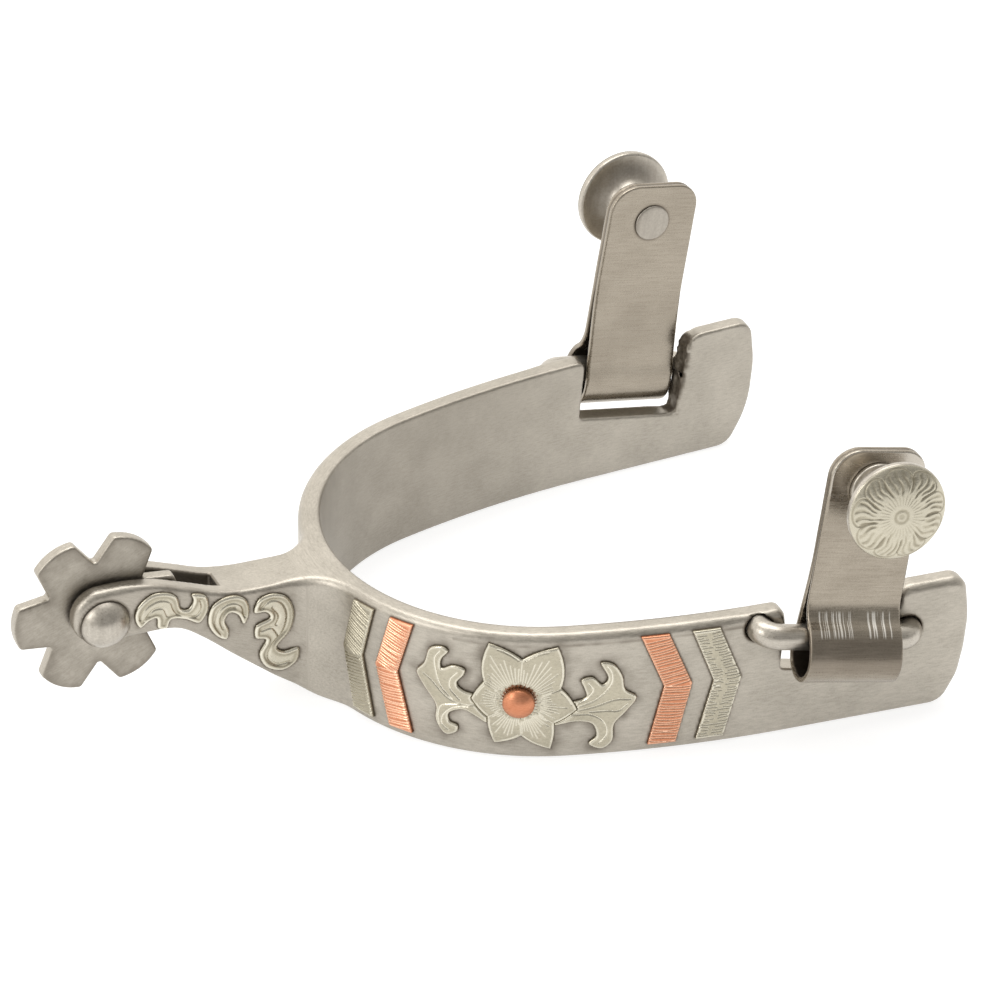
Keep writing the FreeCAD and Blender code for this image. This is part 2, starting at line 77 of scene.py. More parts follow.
CAP_R, CAP_H = 9.15, 2.2
POST_R, POST_HEAD_R, POST_HEAD_H = 2.2, 3.45, 0.5
OVERLAY_T = 0.75
FLOWER_HOLE, BOSS_R, BOSS_SKIRT, BOSS_H = 2.6, 2.9, 1.0, 2.5
CHEVRON_TOP, CHEVRON_BEND, CHEVRON_FOOT = 24.4, 13.6, 1.6
LEGS = (-ROD_REAR, ROD_FRONT)
SIDE_NAMES = {-1: "right", 1: "left"}


# ---- distance fields -----------------------------------------------------------------------
def smoothstep(low, high, value):
    t = np.clip((value - low) / (high - low), 0, 1)
    return t * t * (3 - 2 * t)


def plateau(value, a, b, c, d):
    """Rises from 0 to 1 between a and b, and falls back to 0 between c and d."""
    return smoothstep(a, b, value) * (1 - smoothstep(c, d, value))


def peak(value, width):
    """Bell curve that is 1 where the value is 0."""
    return np.exp(-(value / width) ** 2)


def round_and(a, b, r):
    """Intersection of two distance fields with the edge between them rounded to radius r."""
    return np.minimum(np.maximum(a, b), -r) + np.hypot(np.maximum(a + r, 0), np.maximum(b + r, 0))


def round_or(a, b, r):
    """Union of two distance fields with a hollow corner of radius r between them."""
    return np.maximum(np.minimum(a, b), r) - np.hypot(np.maximum(r - a, 0), np.maximum(r - b, 0))


def polygon_distance(points, u, v):
    """Signed distance in a plane to a closed polygon, negative inside."""
    best = np.full(u.shape, 1e12)
    inside = np.zeros(u.shape, bool)
    for (x0, y0), (x1, y1) in zip(points, np.roll(points, -1, axis=0)):
        ex, ey = x1 - x0, y1 - y0
        length = ex * ex + ey * ey
        if length < 1e-12:
            continue
        wx, wy = u - x0, v - y0
        t = np.clip((wx * ex + wy * ey) / length, 0, 1)
        best = np.minimum(best, (wx - ex * t) ** 2 + (wy - ey * t) ** 2)
        if ey != 0:
            inside ^= ((y0 <= v) != (y1 <= v)) & (u < ex * (v - y0) / ey + x0)
    return np.where(inside, -1, 1) * np.sqrt(best)


def line_distance(points, *axes):
    """Distance to an open polyline in two or three dimensions."""
    best = np.full(axes[0].shape, 1e12)
    for a, b in zip(points[:-1], points[1:]):
        edge = np.subtract(b, a)
        length = float(edge @ edge)
        if length < 1e-12:
            continue
        w = [axis - a[i] for i, axis in enumerate(axes)]
        t = np.clip(sum(wi * edge[i] for i, wi in enumerate(w)) / length, 0, 1)
        best = np.minimum(best, sum((wi - edge[i] * t) ** 2 for i, wi in enumerate(w)))
    return np.sqrt(best)


def catmull(points, closed=True, steps=6):
    """Smooth curve through the points, as a list of close points."""
    p = np.array(points, float)
    if closed:
        p = np.concatenate([p[-1:], p, p[:2]])
    else:
        p = np.concatenate([[2 * p[0] - p[1]], p, [2 * p[-1] - p[-2]]])
    out = [0.5 * (2 * b + (c - a) * t + (2 * a - 5 * b + 4 * c - d) * t ** 2
                  + (3 * b - a - 3 * c + d) * t ** 3)
           for a, b, c, d in zip(p, p[1:], p[2:], p[3:])
           for t in np.linspace(0, 1, steps, endpoint=False)]
    return np.array(out if closed else [*out, p[-2]])


def rounded_polygon(corners, steps=8):
    """Closed polygon from (u, v, radius) corners."""
    p = np.array(corners, float)
    out = []
    for i in range(len(p)):
        corner, r = p[i, :2], p[i, 2]
        if r == 0:
            out.append(corner)
            continue
        a = p[i - 1, :2] - corner
        b = p[(i + 1) % len(p), :2] - corner
        a, b = a / np.linalg.norm(a), b / np.linalg.norm(b)
        half = math.acos(np.clip(a @ b, -1, 1)) / 2
        reach, bisector = r / math.tan(half), (a + b) / np.linalg.norm(a + b)
        centre = corner + bisector * r / math.sin(half)
        start, end = corner + a * reach - centre, corner + b * reach - centre
        for t in np.linspace(0, 1, steps):
            v = start * (1 - t) + end * t
            out.append(centre + v / np.linalg.norm(v) * r)
    return np.array(out)


def arc(radius, height, centre, start, end, steps=8):
    """Part of an ellipse as points; angles in degrees from the first axis."""
    return [(centre[0] + radius * math.cos(a), centre[1] + height * math.sin(a))
            for a in np.radians(np.linspace(start, end, steps))]


def polar(centre, radius, degrees):
    """Point at a radius and an angle round the centre."""
    return arc(radius, radius, centre, degrees, degrees, 1)[0]


NOISE_SIZE = 32
NOISE = rng.random((NOISE_SIZE,) * 3)
CORNERS = [(i, j, k) for i in (0, 1) for j in (0, 1) for k in (0, 1)]


def value_noise(points, size):
    """Smooth repeating noise from 0 to 1, with bumps about size apart."""
    q = points / size
    base = np.floor(q).astype(int)
    f = q - base
    f = f * f * (3 - 2 * f)
    total = np.zeros(len(points))
    for corner in CORNERS:
        weight = np.abs(1 - np.array(corner) - f).prod(1)
        total += weight * NOISE[tuple((base + corner).T % NOISE_SIZE)]
    return total


# ---- mesher --------------------------------------------------------------------------------
def evaluate(field, points, batch=200000):
    return np.concatenate([field(points[i:i + batch]) for i in range(0, len(points), batch)])


def mesh_field(field, low, high, cell):
    """Smooth quad mesh of the surface where the field is zero, inside the given box."""
    block = 4
    low = np.array(low, float)
    counts = np.ceil((np.array(high, float) - low) / (cell * block)).astype(int)
    index = np.stack(np.meshgrid(*[np.arange(c) for c in counts], indexing="ij"), -1).reshape(-1, 3)
    middle = evaluate(field, low + (index + 0.5) * cell * block)
    index = index[np.abs(middle) < cell * block * 1.05]
    shape = counts * block + 1
    grid = np.full(shape, np.nan, np.float32)
    step = np.stack(np.meshgrid(*[np.arange(block + 1)] * 3, indexing="ij"), -1).reshape(-1, 3)
    nodes = (index[:, None] * block + step).reshape(-1, 3)
    flat = np.unique(np.ravel_multi_index(nodes.T, shape))
    nodes = np.stack(np.unravel_index(flat, shape), -1)
    grid.ravel()[flat] = evaluate(field, low + nodes * cell)

    # one vertex in each cell that the surface crosses, at the mean of its edges' crossings
    corners = [grid[i:shape[0] - 1 + i, j:shape[1] - 1 + j, k:shape[2] - 1 + k] for i, j, k in CORNERS]
    some = np.any([c < 0 for c in corners], axis=0)
    every = np.all([c < 0 for c in corners], axis=0)
    unknown = np.any([np.isnan(c) for c in corners], axis=0)
    active = np.argwhere(some & ~every & ~unknown)
    values = np.stack([c[tuple(active.T)] for c in corners], -1).astype(float)
    offsets = np.array(CORNERS, float)
    total, hits = np.zeros((len(active), 3)), np.zeros(len(active))
    for a in range(8):
        for b in range(a + 1, 8):
            if np.abs(offsets[a] - offsets[b]).sum() != 1:
                continue
            crossing = (values[:, a] < 0) != (values[:, b] < 0)
            t = values[:, a] / np.where(crossing, values[:, a] - values[:, b], 1)
            total += np.where(crossing[:, None], offsets[a] + t[:, None] * (offsets[b] - offsets[a]), 0)
            hits += crossing
    verts = low + (active + total / hits[:, None]) * cell
    # two steps along the field's slope put the vertices on the surface
    for _ in range(2):
        value, h = evaluate(field, verts), cell * 0.1
        slope = np.stack([(evaluate(field, verts + np.eye(3)[i] * h)
                           - evaluate(field, verts - np.eye(3)[i] * h)) / (2 * h)
                          for i in range(3)], -1)
        move = -slope * (value / np.maximum((slope ** 2).sum(1), 0.1))[:, None]
        length = np.linalg.norm(move, axis=1, keepdims=True)
        verts += move * np.minimum(1, cell * 0.6 / np.maximum(length, 1e-9))

    # one quad round each grid edge that the surface crosses
    number = np.full(shape - 1, -1, np.int64)
    number[tuple(active.T)] = np.arange(len(active))
    faces = []
    for axis in range(3):
        u, v = (axis + 1) % 3, (axis + 2) % 3
        a = np.take(grid, range(shape[axis] - 1), axis)
        b = np.take(grid, range(1, shape[axis]), axis)
        edges = np.argwhere(((a < 0) != (b < 0)) & ~np.isnan(a) & ~np.isnan(b))
        edges = edges[(edges[:, u] > 0) & (edges[:, v] > 0)
                      & (edges[:, u] < shape[u] - 1) & (edges[:, v] < shape[v] - 1)]
        du, dv = np.eye(3, dtype=int)[u], np.eye(3, dtype=int)[v]
        quad = np.stack([number[tuple(c.T)]
                         for c in (edges, edges - du, edges - du - dv, edges - dv)], -1)
        flip = a[tuple(edges.T)] >= 0
        quad[flip] = quad[flip][:, ::-1]
        faces.append(quad[(quad >= 0).all(1)])
    return verts, np.concatenate(faces).tolist()


def add_piece(name, verts, faces, material, body, slot, replaced, grain, patina_and_painted_light):
    """Mesh object riding on a body, with the grain coordinates and the patina and painted light its
    material reads.
    """
    mesh = bpy.data.meshes.new(name)
    mesh.from_pydata((verts * MM).tolist(), [], faces)
    mesh.validate()
    mesh.polygons.foreach_set("use_smooth", np.ones(len(mesh.polygons), bool))
    for label, kind, key, values in (("grain", "FLOAT_VECTOR", "vector", grain),
                                     ("patina_and_painted_light", "FLOAT", "value", patina_and_painted_light)):
        attribute = mesh.attributes.new(label, kind, "POINT")
        attribute.data.foreach_set(key, np.asarray(values, np.float32).ravel())
    mesh.materials.append(material)
    piece = bpy.data.objects.new(name, mesh)
    bpy.context.scene.collection.objects.link(piece)
    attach(piece, body)
    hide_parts(*replaced)


# ---- materials -----------------------------------------------------------------------------
def metal(name, dark, light, tarnish_and_shade, cut, roughness, streak, bump, scratched=False):
    """Worked metal: stretched brush marks, soft blotches, dark patina and painted shade, bright tool cuts
    and painted highlights.

    The patina_and_painted_light attribute is above 0 for tarnish and painted shade, and below 0 for
    bright cuts and painted highlights.
    """
    material = bpy.data.materials.new(name)
    material.use_nodes = True
    nodes, links = material.node_tree.nodes, material.node_tree.links
    shader = nodes["Principled BSDF"]
    shader.inputs["Metallic"].default_value = 1.0

    def feed(socket, value):
        if isinstance(value, bpy.types.NodeSocket):
            links.new(value, socket)
        else:
            socket.default_value = value

    def attribute(label, output):
        made = nodes.new("ShaderNodeAttribute")
        made.attribute_name = label
        return made.outputs[output]

    def noise(stretch, detail):
        mapping, texture = nodes.new("ShaderNodeMapping"), nodes.new("ShaderNodeTexNoise")
        feed(mapping.inputs["Vector"], grain)
        mapping.inputs["Scale"].default_value = stretch
        feed(texture.inputs["Vector"], mapping.outputs["Vector"])
        texture.inputs["Scale"].default_value = 1.0
        texture.inputs["Detail"].default_value = detail
        return texture.outputs["Fac"]

    def ramp(value, low, high):
        made = nodes.new("ShaderNodeMapRange")
        feed(made.inputs["Value"], value)
        for key, number in zip(("From Min", "To Min", "From Max", "To Max"), (*low, *high)):
            made.inputs[key].default_value = number
        return made.outputs["Result"]

    def maths(operation, a, b):
        made = nodes.new("ShaderNodeMath")
        made.operation = operation
        feed(made.inputs[0], a)
        feed(made.inputs[1], b)
        return made.outputs["Value"]

    def window(value, a, b, c, d):
        return maths("MULTIPLY", ramp(value, (a, 0.0), (b, 1.0)), ramp(value, (c, 1.0), (d, 0.0)))

    def blend(factor, a, b):
        made = nodes.new("ShaderNodeMix")
        made.data_type = "RGBA"
        feed(made.inputs["Factor"], factor)
        feed(made.inputs[6], a)
        feed(made.inputs[7], b)
        return made.outputs[2]

    grain = attribute("grain", "Vector")
    patina_and_painted_light = attribute("patina_and_painted_light", "Fac")
    brush = noise(streak, 3.0)
    speckle = noise((3.5, 3.5, 3.5), 2.0)
    blotch = noise((0.13, 0.13, 0.13), 4.0)
    tone = maths("ADD", ramp(brush, (0.32, 0.0), (0.68, 0.45)), ramp(blotch, (0.35, 0.0), (0.65, 0.3)))
    tone = maths("ADD", tone, ramp(speckle, (0.35, 0.0), (0.65, 0.25)))
    colour = blend(tone, (*dark, 1), (*light, 1))
    # above 0 the tarnish_and_shade colour stands for patina and painted shade; below 0 the cut colour
    # stands for bright cuts and painted highlights
    tarnish_and_shade_mix = ramp(patina_and_painted_light, (0.0, 0.0), (1.0, 1.0))
    cut_and_highlight = ramp(patina_and_painted_light, (0.0, 0.0), (-1.0, 1.0))
    if scratched:
        # short upright scuffs in two groups across the fold, level with the rod
        split = nodes.new("ShaderNodeSeparateXYZ")
        feed(split.inputs["Vector"], grain)
        along, out, up = split.outputs
        lines = ramp(noise((3.3, 0.0, 0.08), 1.0), (0.53, 0.0), (0.59, 1.0))
        level = maths("MULTIPLY", window(up, 1.2, 1.8, 4.8, 5.4), ramp(out, (-0.9, 0.0), (-0.8, 1.0)))
        groups = maths("ADD", window(along, -7.8, -7.6, -0.9, -0.5), window(along, 2.4, 2.6, 6.8, 7.2))
        scuffs = maths("MULTIPLY", maths("MULTIPLY", lines, level), groups)
        cut_and_highlight = maths("MAXIMUM", cut_and_highlight, scuffs)
    colour = blend(tarnish_and_shade_mix, colour, (*tarnish_and_shade, 1))
    feed(shader.inputs["Base Color"], blend(cut_and_highlight, colour, (*cut, 1)))
    rough = maths("ADD", ramp(brush, (0.3, roughness[0]), (0.7, roughness[1])),
                  ramp(speckle, (0.35, -0.03), (0.65, 0.03)))
    rough = maths("ADD", rough, ramp(patina_and_painted_light, (-1.0, -0.12), (1.0, 0.25)))
    feed(shader.inputs["Roughness"], rough)
    relief = nodes.new("ShaderNodeBump")
    relief.inputs["Strength"].default_value = bump
    relief.inputs["Distance"].default_value = 0.00006
    feed(relief.inputs["Height"], maths("ADD", brush, maths("MULTIPLY", speckle, 0.6)))
    feed(shader.inputs["Normal"], relief.outputs["Normal"])
    return material


satin = metal("satin_steel", (0.335, 0.308, 0.262), (0.54, 0.50, 0.435), (0.09, 0.07, 0.05),
              (0.80, 0.76, 0.70), (0.28, 0.40), (0.7, 3.4, 3.4), 0.32)
bright = metal("bright_steel", (0.36, 0.33, 0.285), (0.57, 0.53, 0.465), (0.08, 0.06, 0.045),
               (0.88, 0.84, 0.78), (0.22, 0.32), (0.30, 4.0, 4.0), 0.15)
strap_steel = metal("strap_steel", (0.26, 0.225, 0.18), (0.41, 0.365, 0.30), (0.07, 0.05, 0.035),
                    (0.95, 0.91, 0.84), (0.16, 0.28), (0.22, 4.0, 4.0), 0.12, scratched=True)
silver = metal("german_silver", (0.36, 0.33, 0.255), (0.52, 0.48, 0.375), (0.11, 0.08, 0.045),
               (0.92, 0.88, 0.76), (0.20, 0.32), (1.2, 2.5, 2.5), 0.22)
copper = metal("copper", (0.46, 0.165, 0.08), (0.74, 0.33, 0.19), (0.24, 0.08, 0.035),
               (1.0, 0.66, 0.47), (0.24, 0.36), (1.2, 2.5, 2.5), 0.22)


# ---- the band's plan curve -----------------------------------------------------------------
def wall_coordinates(x, y):
    """Length s along the outer face from the back of the heel, and n outwards from the inner face."""
    y = np.abs(y)
    heel_angle = np.arctan2(y, HEEL_X - x)
    branch_angle = np.arctan2(y - BRANCH_C[1], BRANCH_C[0] - x)
    heel = heel_angle <= HEEL_SWEEP
    branch = ~heel & (branch_angle <= STRAIGHT)
    along = (x - TIP_START[0]) * math.cos(SPLAY) + (y - TIP_START[1]) * math.sin(SPLAY)
    across = (y - TIP_START[1]) * math.cos(SPLAY) - (x - TIP_START[0]) * math.sin(SPLAY)
    n = np.where(heel, np.hypot(x - HEEL_X, y) - HEEL_R,
                 np.where(branch, np.hypot(x - BRANCH_C[0], y - BRANCH_C[1]) - BRANCH_R, across))
    branch_end = HEEL_END + OUTER_BRANCH_R * (STRAIGHT - HEEL_SWEEP)
    s = np.where(heel, OUTER_HEEL_R * heel_angle,
                 np.where(branch, HEEL_END + OUTER_BRANCH_R * (branch_angle - HEEL_SWEEP),
                          branch_end + along))
    return s, n


def on_wall(s, lift):
    """x and y of the point at length s along the right branch's outer face, raised by lift."""
    heel = s <= HEEL_END
    angle = np.where(heel, s / OUTER_HEEL_R, HEEL_SWEEP + (s - HEEL_END) / OUTER_BRANCH_R)
    radius = np.where(heel, OUTER_HEEL_R, OUTER_BRANCH_R) + lift
    cx, cy = np.where(heel, HEEL_X, BRANCH_C[0]), np.where(heel, 0, BRANCH_C[1])
    return cx - radius * np.cos(angle), -(cy + radius * np.sin(angle))


# ---- hinge frames --------------------------------------------------------------------------
def hinge_axes(side, lean=0.0):
    """Rod's centre and a matrix whose rows run along the rod, outwards and up the hanger."""
    start_x = TIP_START[0] - BAND_T * math.cos(STRAIGHT)
    start_y = TIP_START[1] + BAND_T * math.sin(STRAIGHT)
    face_y = start_y + math.tan(SPLAY) * (HINGE_X - start_x)
    outward = np.array([-math.sin(SPLAY), side * math.cos(SPLAY), 0])
    wall = np.array([math.cos(SPLAY), side * math.sin(SPLAY), 0])
    up = np.array([0, 0, 1.0])
    along = wall * math.cos(HINGE_SLOPE) - up * math.sin(HINGE_SLOPE)
    upright = wall * math.sin(HINGE_SLOPE) + up * math.cos(HINGE_SLOPE)
    face = np.array([HINGE_X, side * face_y, HINGE_Z[side]])
    centre = face + outward * HINGE_OUT
    leaned = upright * math.cos(lean) + outward * math.sin(lean)
    out = outward * math.cos(lean) - upright * math.sin(lean)
    return centre, np.array([along, out, leaned])


HINGES = {side: hinge_axes(side) for side in (-1, 1)}


def hanger_axes(side):
    """The same for a hanger at rest, which leans and sits a little off the rod's middle."""
    centre, axes = hinge_axes(side, LEAN[side])
    return centre + axes[0] * HANGER_SLIDE + np.array([0, 0, HANGER_LIFT[side]]), axes


# ---- overlay outlines: on the outer branch as (s, z), and on the shank as (x, z) -----------
FLOWER = FLOWER_S, FLOWER_Z = 48.1, 12.3
# (degrees, radius) round the flower's middle
PETAL_TIPS = [(58, 13.3), (115, 12.9), (182, 8.7), (244, 10.2), (299, 11.6), (349, 10.6)]
PETAL_NOTCHES = [(19, 8.0), (86, 8.8), (151, 7.3), (214, 6.9), (273, 7.4), (323, 7.9)]
SPRAYS = {
    "leaf_spray_rear": [
        (40.8, 12.6), (38.0, 13.3), (36.8, 14.6), (38.1, 16.5), (38.2, 17.9), (35.9, 18.2),
        (33.9, 17.2), (33.9, 19.0), (35.2, 20.9), (33.9, 21.7), (31.5, 20.8), (30.5, 17.6),
        (28.9, 15.3), (30.3, 12.6), (32.7, 9.2), (32.7, 6.0), (34.5, 3.4), (36.7, 4.2), (36.9, 5.7),
        (35.4, 6.3), (35.4, 8.0), (37.9, 9.2), (40.2, 8.3), (42.5, 7.1), (44.2, 8.4), (43.0, 11.0)],
    "leaf_spray_front": [
        (54.9, 11.8), (57.7, 12.0), (60.0, 12.7), (59.7, 14.6), (59.2, 16.4), (61.3, 16.9),
        (63.0, 15.2), (64.0, 16.6), (62.7, 19.7), (65.1, 19.3), (66.7, 16.6), (67.2, 13.8),
        (69.3, 11.9), (67.3, 9.0), (65.2, 6.6), (64.9, 3.2), (62.9, 1.6), (60.5, 2.8), (61.9, 4.4),
        (61.1, 7.0), (58.1, 7.7), (54.9, 7.2), (52.5, 7.3), (52.8, 10.4)]}

SCROLLS = {
    "shank_scroll_rear": [
        (-38.6, 24.6), (-37.7, 26.9), (-35.2, 28.6), (-32.2, 28.3), (-30.4, 26.9), (-29.8, 24.6),
        (-28.4, 24.0), (-27.4, 25.4), (-27.6, 26.9), (-25.2, 26.2), (-24.4, 24.4), (-24.9, 22.2),
        (-26.4, 20.6), (-28.9, 22.0), (-31.6, 22.6), (-32.5, 21.0), (-34.2, 21.4), (-34.4, 23.4),
        (-36.0, 23.2), (-37.6, 22.2)],
    "shank_scroll_middle": [
        (-24.0, 23.2), (-21.8, 24.6), (-19.0, 24.6), (-17.0, 23.0), (-16.7, 20.2), (-17.8, 18.3),
        (-18.8, 20.4), (-20.4, 21.3), (-21.4, 19.8), (-20.6, 17.6), (-21.2, 15.9), (-23.2, 17.2),
        (-24.6, 20.0)],
    "shank_scroll_front": [
        (-15.8, 20.2), (-14.8, 22.8), (-12.0, 23.4), (-9.2, 22.0), (-8.0, 18.6), (-8.8, 15.0),
        (-11.4, 12.2), (-10.0, 10.8), (-7.2, 11.0), (-7.6, 8.2), (-10.4, 6.8), (-13.6, 8.2),
        (-14.9, 11.2), (-13.6, 13.9), (-15.6, 14.8), (-15.4, 17.4), (-12.8, 18.4), (-13.6, 19.8)]}

# s of the rear edge at the top, the bend and the foot, and the bar's width along s
CHEVRONS = {"silver_chevron_rear": (14.4, 11.5, 14.2, 5.1),
            "copper_chevron_rear": (23.2, 19.9, 23.0, 5.0),
            "copper_chevron_front": (70.0, 74.2, 71.2, 5.2),
            "silver_chevron_front": (79.4, 83.3, 80.0, 5.2)}


def chevron_outline(top, middle, bottom, width):
    pairs = [(top, CHEVRON_TOP), (middle, CHEVRON_BEND), (bottom, CHEVRON_FOOT)]
    return np.array(pairs + [(s + width, z) for s, z in reversed(pairs)])


def flower_outline():
    points = []
    for i, tip in enumerate(PETAL_TIPS):
        before, after = PETAL_NOTCHES[i], PETAL_NOTCHES[(i + 1) % 6]
        for start, end in ((before, tip), (tip, after)):
            turn = (end[0] - start[0]) % 360
            for t in np.linspace(0, 1, 8, endpoint=False):
                radius = start[1] * (1 - t) + end[1] * t
                radius *= 1 - 0.08 * t * (1 - t)
                points.append(polar(FLOWER, radius, start[0] + turn * t))
    return np.array(points)


OUTLINES = {name: chevron_outline(*sizes) for name, sizes in CHEVRONS.items()}
OUTLINES["flower"] = flower_outline()
OUTLINES.update({name: catmull(points, steps=4) for name, points in SPRAYS.items()})
SHANK_OUTLINES = {name: catmull(points, steps=4) for name, points in SCROLLS.items()}


# ---- band and shank ------------------------------------------------------------------------
def body_outline():
    """Side view of the band and the shank together."""
    tip = rounded_polygon([
        (50.0, 0.0, 0), (99.6, 0.0, 4.0), (103.9, 7.5, 20.0), (105.0, 17.0, 20.0),
        (104.3, BAND_H, 3.0), (91.4, BAND_H, 3.5), (88.5, 9.5, 1.8), (68.6, 13.5, 0.6),
        (69.8, BAND_H, 1.6), (50.0, BAND_H, 0)])
    top = catmull([(2.0, BAND_H), (-3.0, 25.4), (-8.0, 24.9), (-15.6, 24.8), (-22.0, 25.7),
                   (-27.6, 27.7), (-34.2, 30.0), (-39.5, 30.8), (LOBE_X + 1.5, LOBE_Z + LOBE_R)],
                  closed=False)
    lobe = arc(LOBE_R, LOBE_R, (LOBE_X, LOBE_Z), 100, 260, 14)
    under = catmull([(LOBE_X + 1.5, LOBE_Z - LOBE_R), (-36.0, 20.4), (-30.0, 19.8), (-25.2, 16.7),
                     (-19.6, 11.9), (-13.8, 7.2), (-8.1, 3.0), (-3.5, 0.2), (2.0, 0.0)], closed=False)
    return np.concatenate([tip, top, lobe, under])


BODY_OUTLINE = body_outline()


def leg_holes(points):
    """For each leg of both staples: the points in the hinge's axes, and how far outside its hole."""
    for centre, axes in HINGES.values():
        local = (points - centre) @ axes.T
        for leg in LEGS:
            yield local, np.hypot(local[:, 0] - leg, local[:, 2]) - STAPLE_HOLE_R


def notch_wall_x(x, n, z, cut):
    """x as it would be if a notch's slanted front wall stood upright, skewed across it where cut."""
    return x - (z - 9.5) * 0.18 + 0.2 * n * cut


def body_field(points):
    x, y, z = points.T
    n = wall_coordinates(x, y)[1]
    strip = np.abs(y) - SHANK_HALF
    flare = np.where(y < 0, FLARE_NEAR, FLARE_FAR) * smoothstep(30, 8, x) + 0.3
    outer = np.where(x < 25, round_or(strip, n - BAND_T, flare), n - BAND_T)
    plan = np.maximum(outer, -n)
    cut_wall = plateau(x, 84, 86, 92, 93) * smoothstep(8, 12, z) * (y > 0)
    side = polygon_distance(BODY_OUTLINE, x + 0.2 * n * cut_wall, z)

    # how round the edges are: tight below, by the hinge holes and in the near notch, softer above
    high = smoothstep(5, 9, z)
    on_band = smoothstep(-14, -4, x)
    near_notch = plateau(x, 64, 67, 91, 95) * high * (1 - smoothstep(22, 25, z))
    outward = smoothstep(0.8, 3.2, n)
    band_edge = (high * (0.55 + (1.15 - 0.5 * peak(x - 64, 4)) * outward)
                 + (1 - high) * (0.5 + 0.35 * outward))
    band_edge = band_edge * (1 - near_notch) + 0.45 * near_notch
    lobe = smoothstep(-36, -41, x)
    shank_edge = np.where(y < 0, 1.0 + 0.5 * lobe, 0.9) * high + 0.6 * (1 - high)
    body = round_and(plan, side, band_edge * on_band + shank_edge * (1 - on_band))

    slot = np.maximum(np.abs(y) - SLOT_HALF, x - SLOT_END)
    body = round_and(body, -slot, 0.35)
    for local, hole in leg_holes(points):
        hole = np.maximum(hole, -(local[:, 1] + HINGE_OUT + STAPLE_HOLE_DEPTH))
        near = (np.hypot(local[:, 0], local[:, 2]) < 30) & (np.abs(local[:, 1]) < 20)
        body = round_and(body, -np.where(near, hole, 5), 0.18)
    rough = plateau(notch_wall_x(x, n, z, cut_wall), 86.6, 87.8, 89.0, 90.0) * plateau(z, 8.5, 10, 23, 25)
    return body + rough * (0.6 * value_noise(points, 1.4) + 0.3 * value_noise(points + 7, 0.6) - 0.1)


def halo(distance, ragged, wide):
    """Patina left round a brazed plate: a dark line against it, fading out where it is wide."""
    distance = np.maximum(distance, 0)
    soft = wide * (0.15 + 0.55 * ragged) * np.exp(-(distance / (0.6 + 1.0 * ragged)) ** 1.5)
    return np.maximum(0.85 * peak(distance, 0.25), soft)


def body_details(verts):
    """Grain direction, patina and painted shade of the band and the shank."""
    x, y, z = verts.T
    s, n = wall_coordinates(x, y)
    on_shank = x < -6
    grain = np.stack([np.where(on_shank, x * 0.85 - z * 0.5, s), np.where(on_shank, y, n),
                      np.where(on_shank, z + x * 0.5, z)], -1)
    ragged = value_noise(verts, 1.6)
    patina_and_painted_light = np.zeros(len(verts))

    def darken(amount, where=True):
        np.maximum(patina_and_painted_light, np.where(where, amount, 0), out=patina_and_painted_light)

    def stain(where, outline, u, wide):
        around = halo(polygon_distance(outline, u[where], z[where]), ragged[where], wide)
        patina_and_painted_light[where] = np.maximum(patina_and_painted_light[where], around)

    outer = (y < 0) & (n > 3.4) & (x > -8)
    for name, outline in OUTLINES.items():
        near = outer & (s > outline[:, 0].min() - 3) & (s < outline[:, 0].max() + 3)
        stain(near, outline, s, 0.25 if "chevron" in name else 1.0)
    for outline in SHANK_OUTLINES.values():
        stain((y < -4.2) & (x < -4), outline, x, 0.6)
    darken(0.8 * peak(np.hypot(x - PIN_X, z - PIN_Z) - PIN_HEAD_R, 0.3), np.abs(y) > 4.6)
    for local, hole in leg_holes(verts):
        in_wall = (local[:, 1] < 2) & (local[:, 1] > -HINGE_OUT - STAPLE_HOLE_DEPTH - 0.2)
        darken(peak(np.maximum(hole, 0), 0.35), in_wall & (z < 25.2))
    front_wall = plateau(notch_wall_x(x, n, z, y > 0), 87.0, 87.8, 89.3, 89.7) * (z > 9) * (z < 25)
    front_wall = front_wall * plateau(n, 0.0, 0.4, 3.6, 4.0)
    darken(front_wall * (0.5 + 0.5 * value_noise(verts, 0.8)))
    # painted shade on the band's inner face, strongest round the heel and fading towards the tips
    inner_shade = 0.25 - 0.19 * smoothstep(35, 80, x)
    darken(inner_shade * smoothstep(0.6, 0.2, n) * (x > -6))
    darken(0.13 * smoothstep(4.9, 5.1, np.abs(y)) * smoothstep(-4, -9, x))
    # painted shade: a thin dark line just below the rounded top edge of the near outer wall
    darken(peak(z - 23.7, 0.3) * (0.2 + 0.5 * ragged), (y < 0) & (n > 3.2) & (x > 12) & (x < 62))
    # painted shade inside the rowel slot
    darken(0.6, (np.abs(y) < SLOT_HALF + 0.2) & (x < SLOT_END + 0.4))
    return grain, np.clip(patina_and_painted_light, 0, 1)


def make_body():
    verts, faces = mesh_field(body_field, (-52, -52, -1), (107, 52, 33), 0.42)
    verts[:, 0] = np.minimum(verts[:, 0], BRANCH_END)
    verts[:, 2] = np.maximum(verts[:, 2], 0)
    grain, patina_and_painted_light = body_details(verts)
    add_piece("spur_body", verts, faces, satin, "spur_frame", "satin_steel",
              ("heel_band", "shank"), grain, patina_and_painted_light)


# ---- rowel ---------------------------------------------------------------------------------
def rowel_outline():
    corners = []
    for i in range(6):
        notch = 91.0 + i * 60
        for radius, degrees, rounding in ((ROWEL_ROOT, -1.6, 0), (ROWEL_ROOT, 1.6, 0),
                                          (ROWEL_SHOULDER, 14, 0.9), (ROWEL_R, 24, 9),
                                          (ROWEL_R, 36, 9), (ROWEL_SHOULDER, 46, 0.9)):
            corners.append((*polar((PIN_X, PIN_Z), radius, notch + degrees), rounding))
    return rounded_polygon(corners)


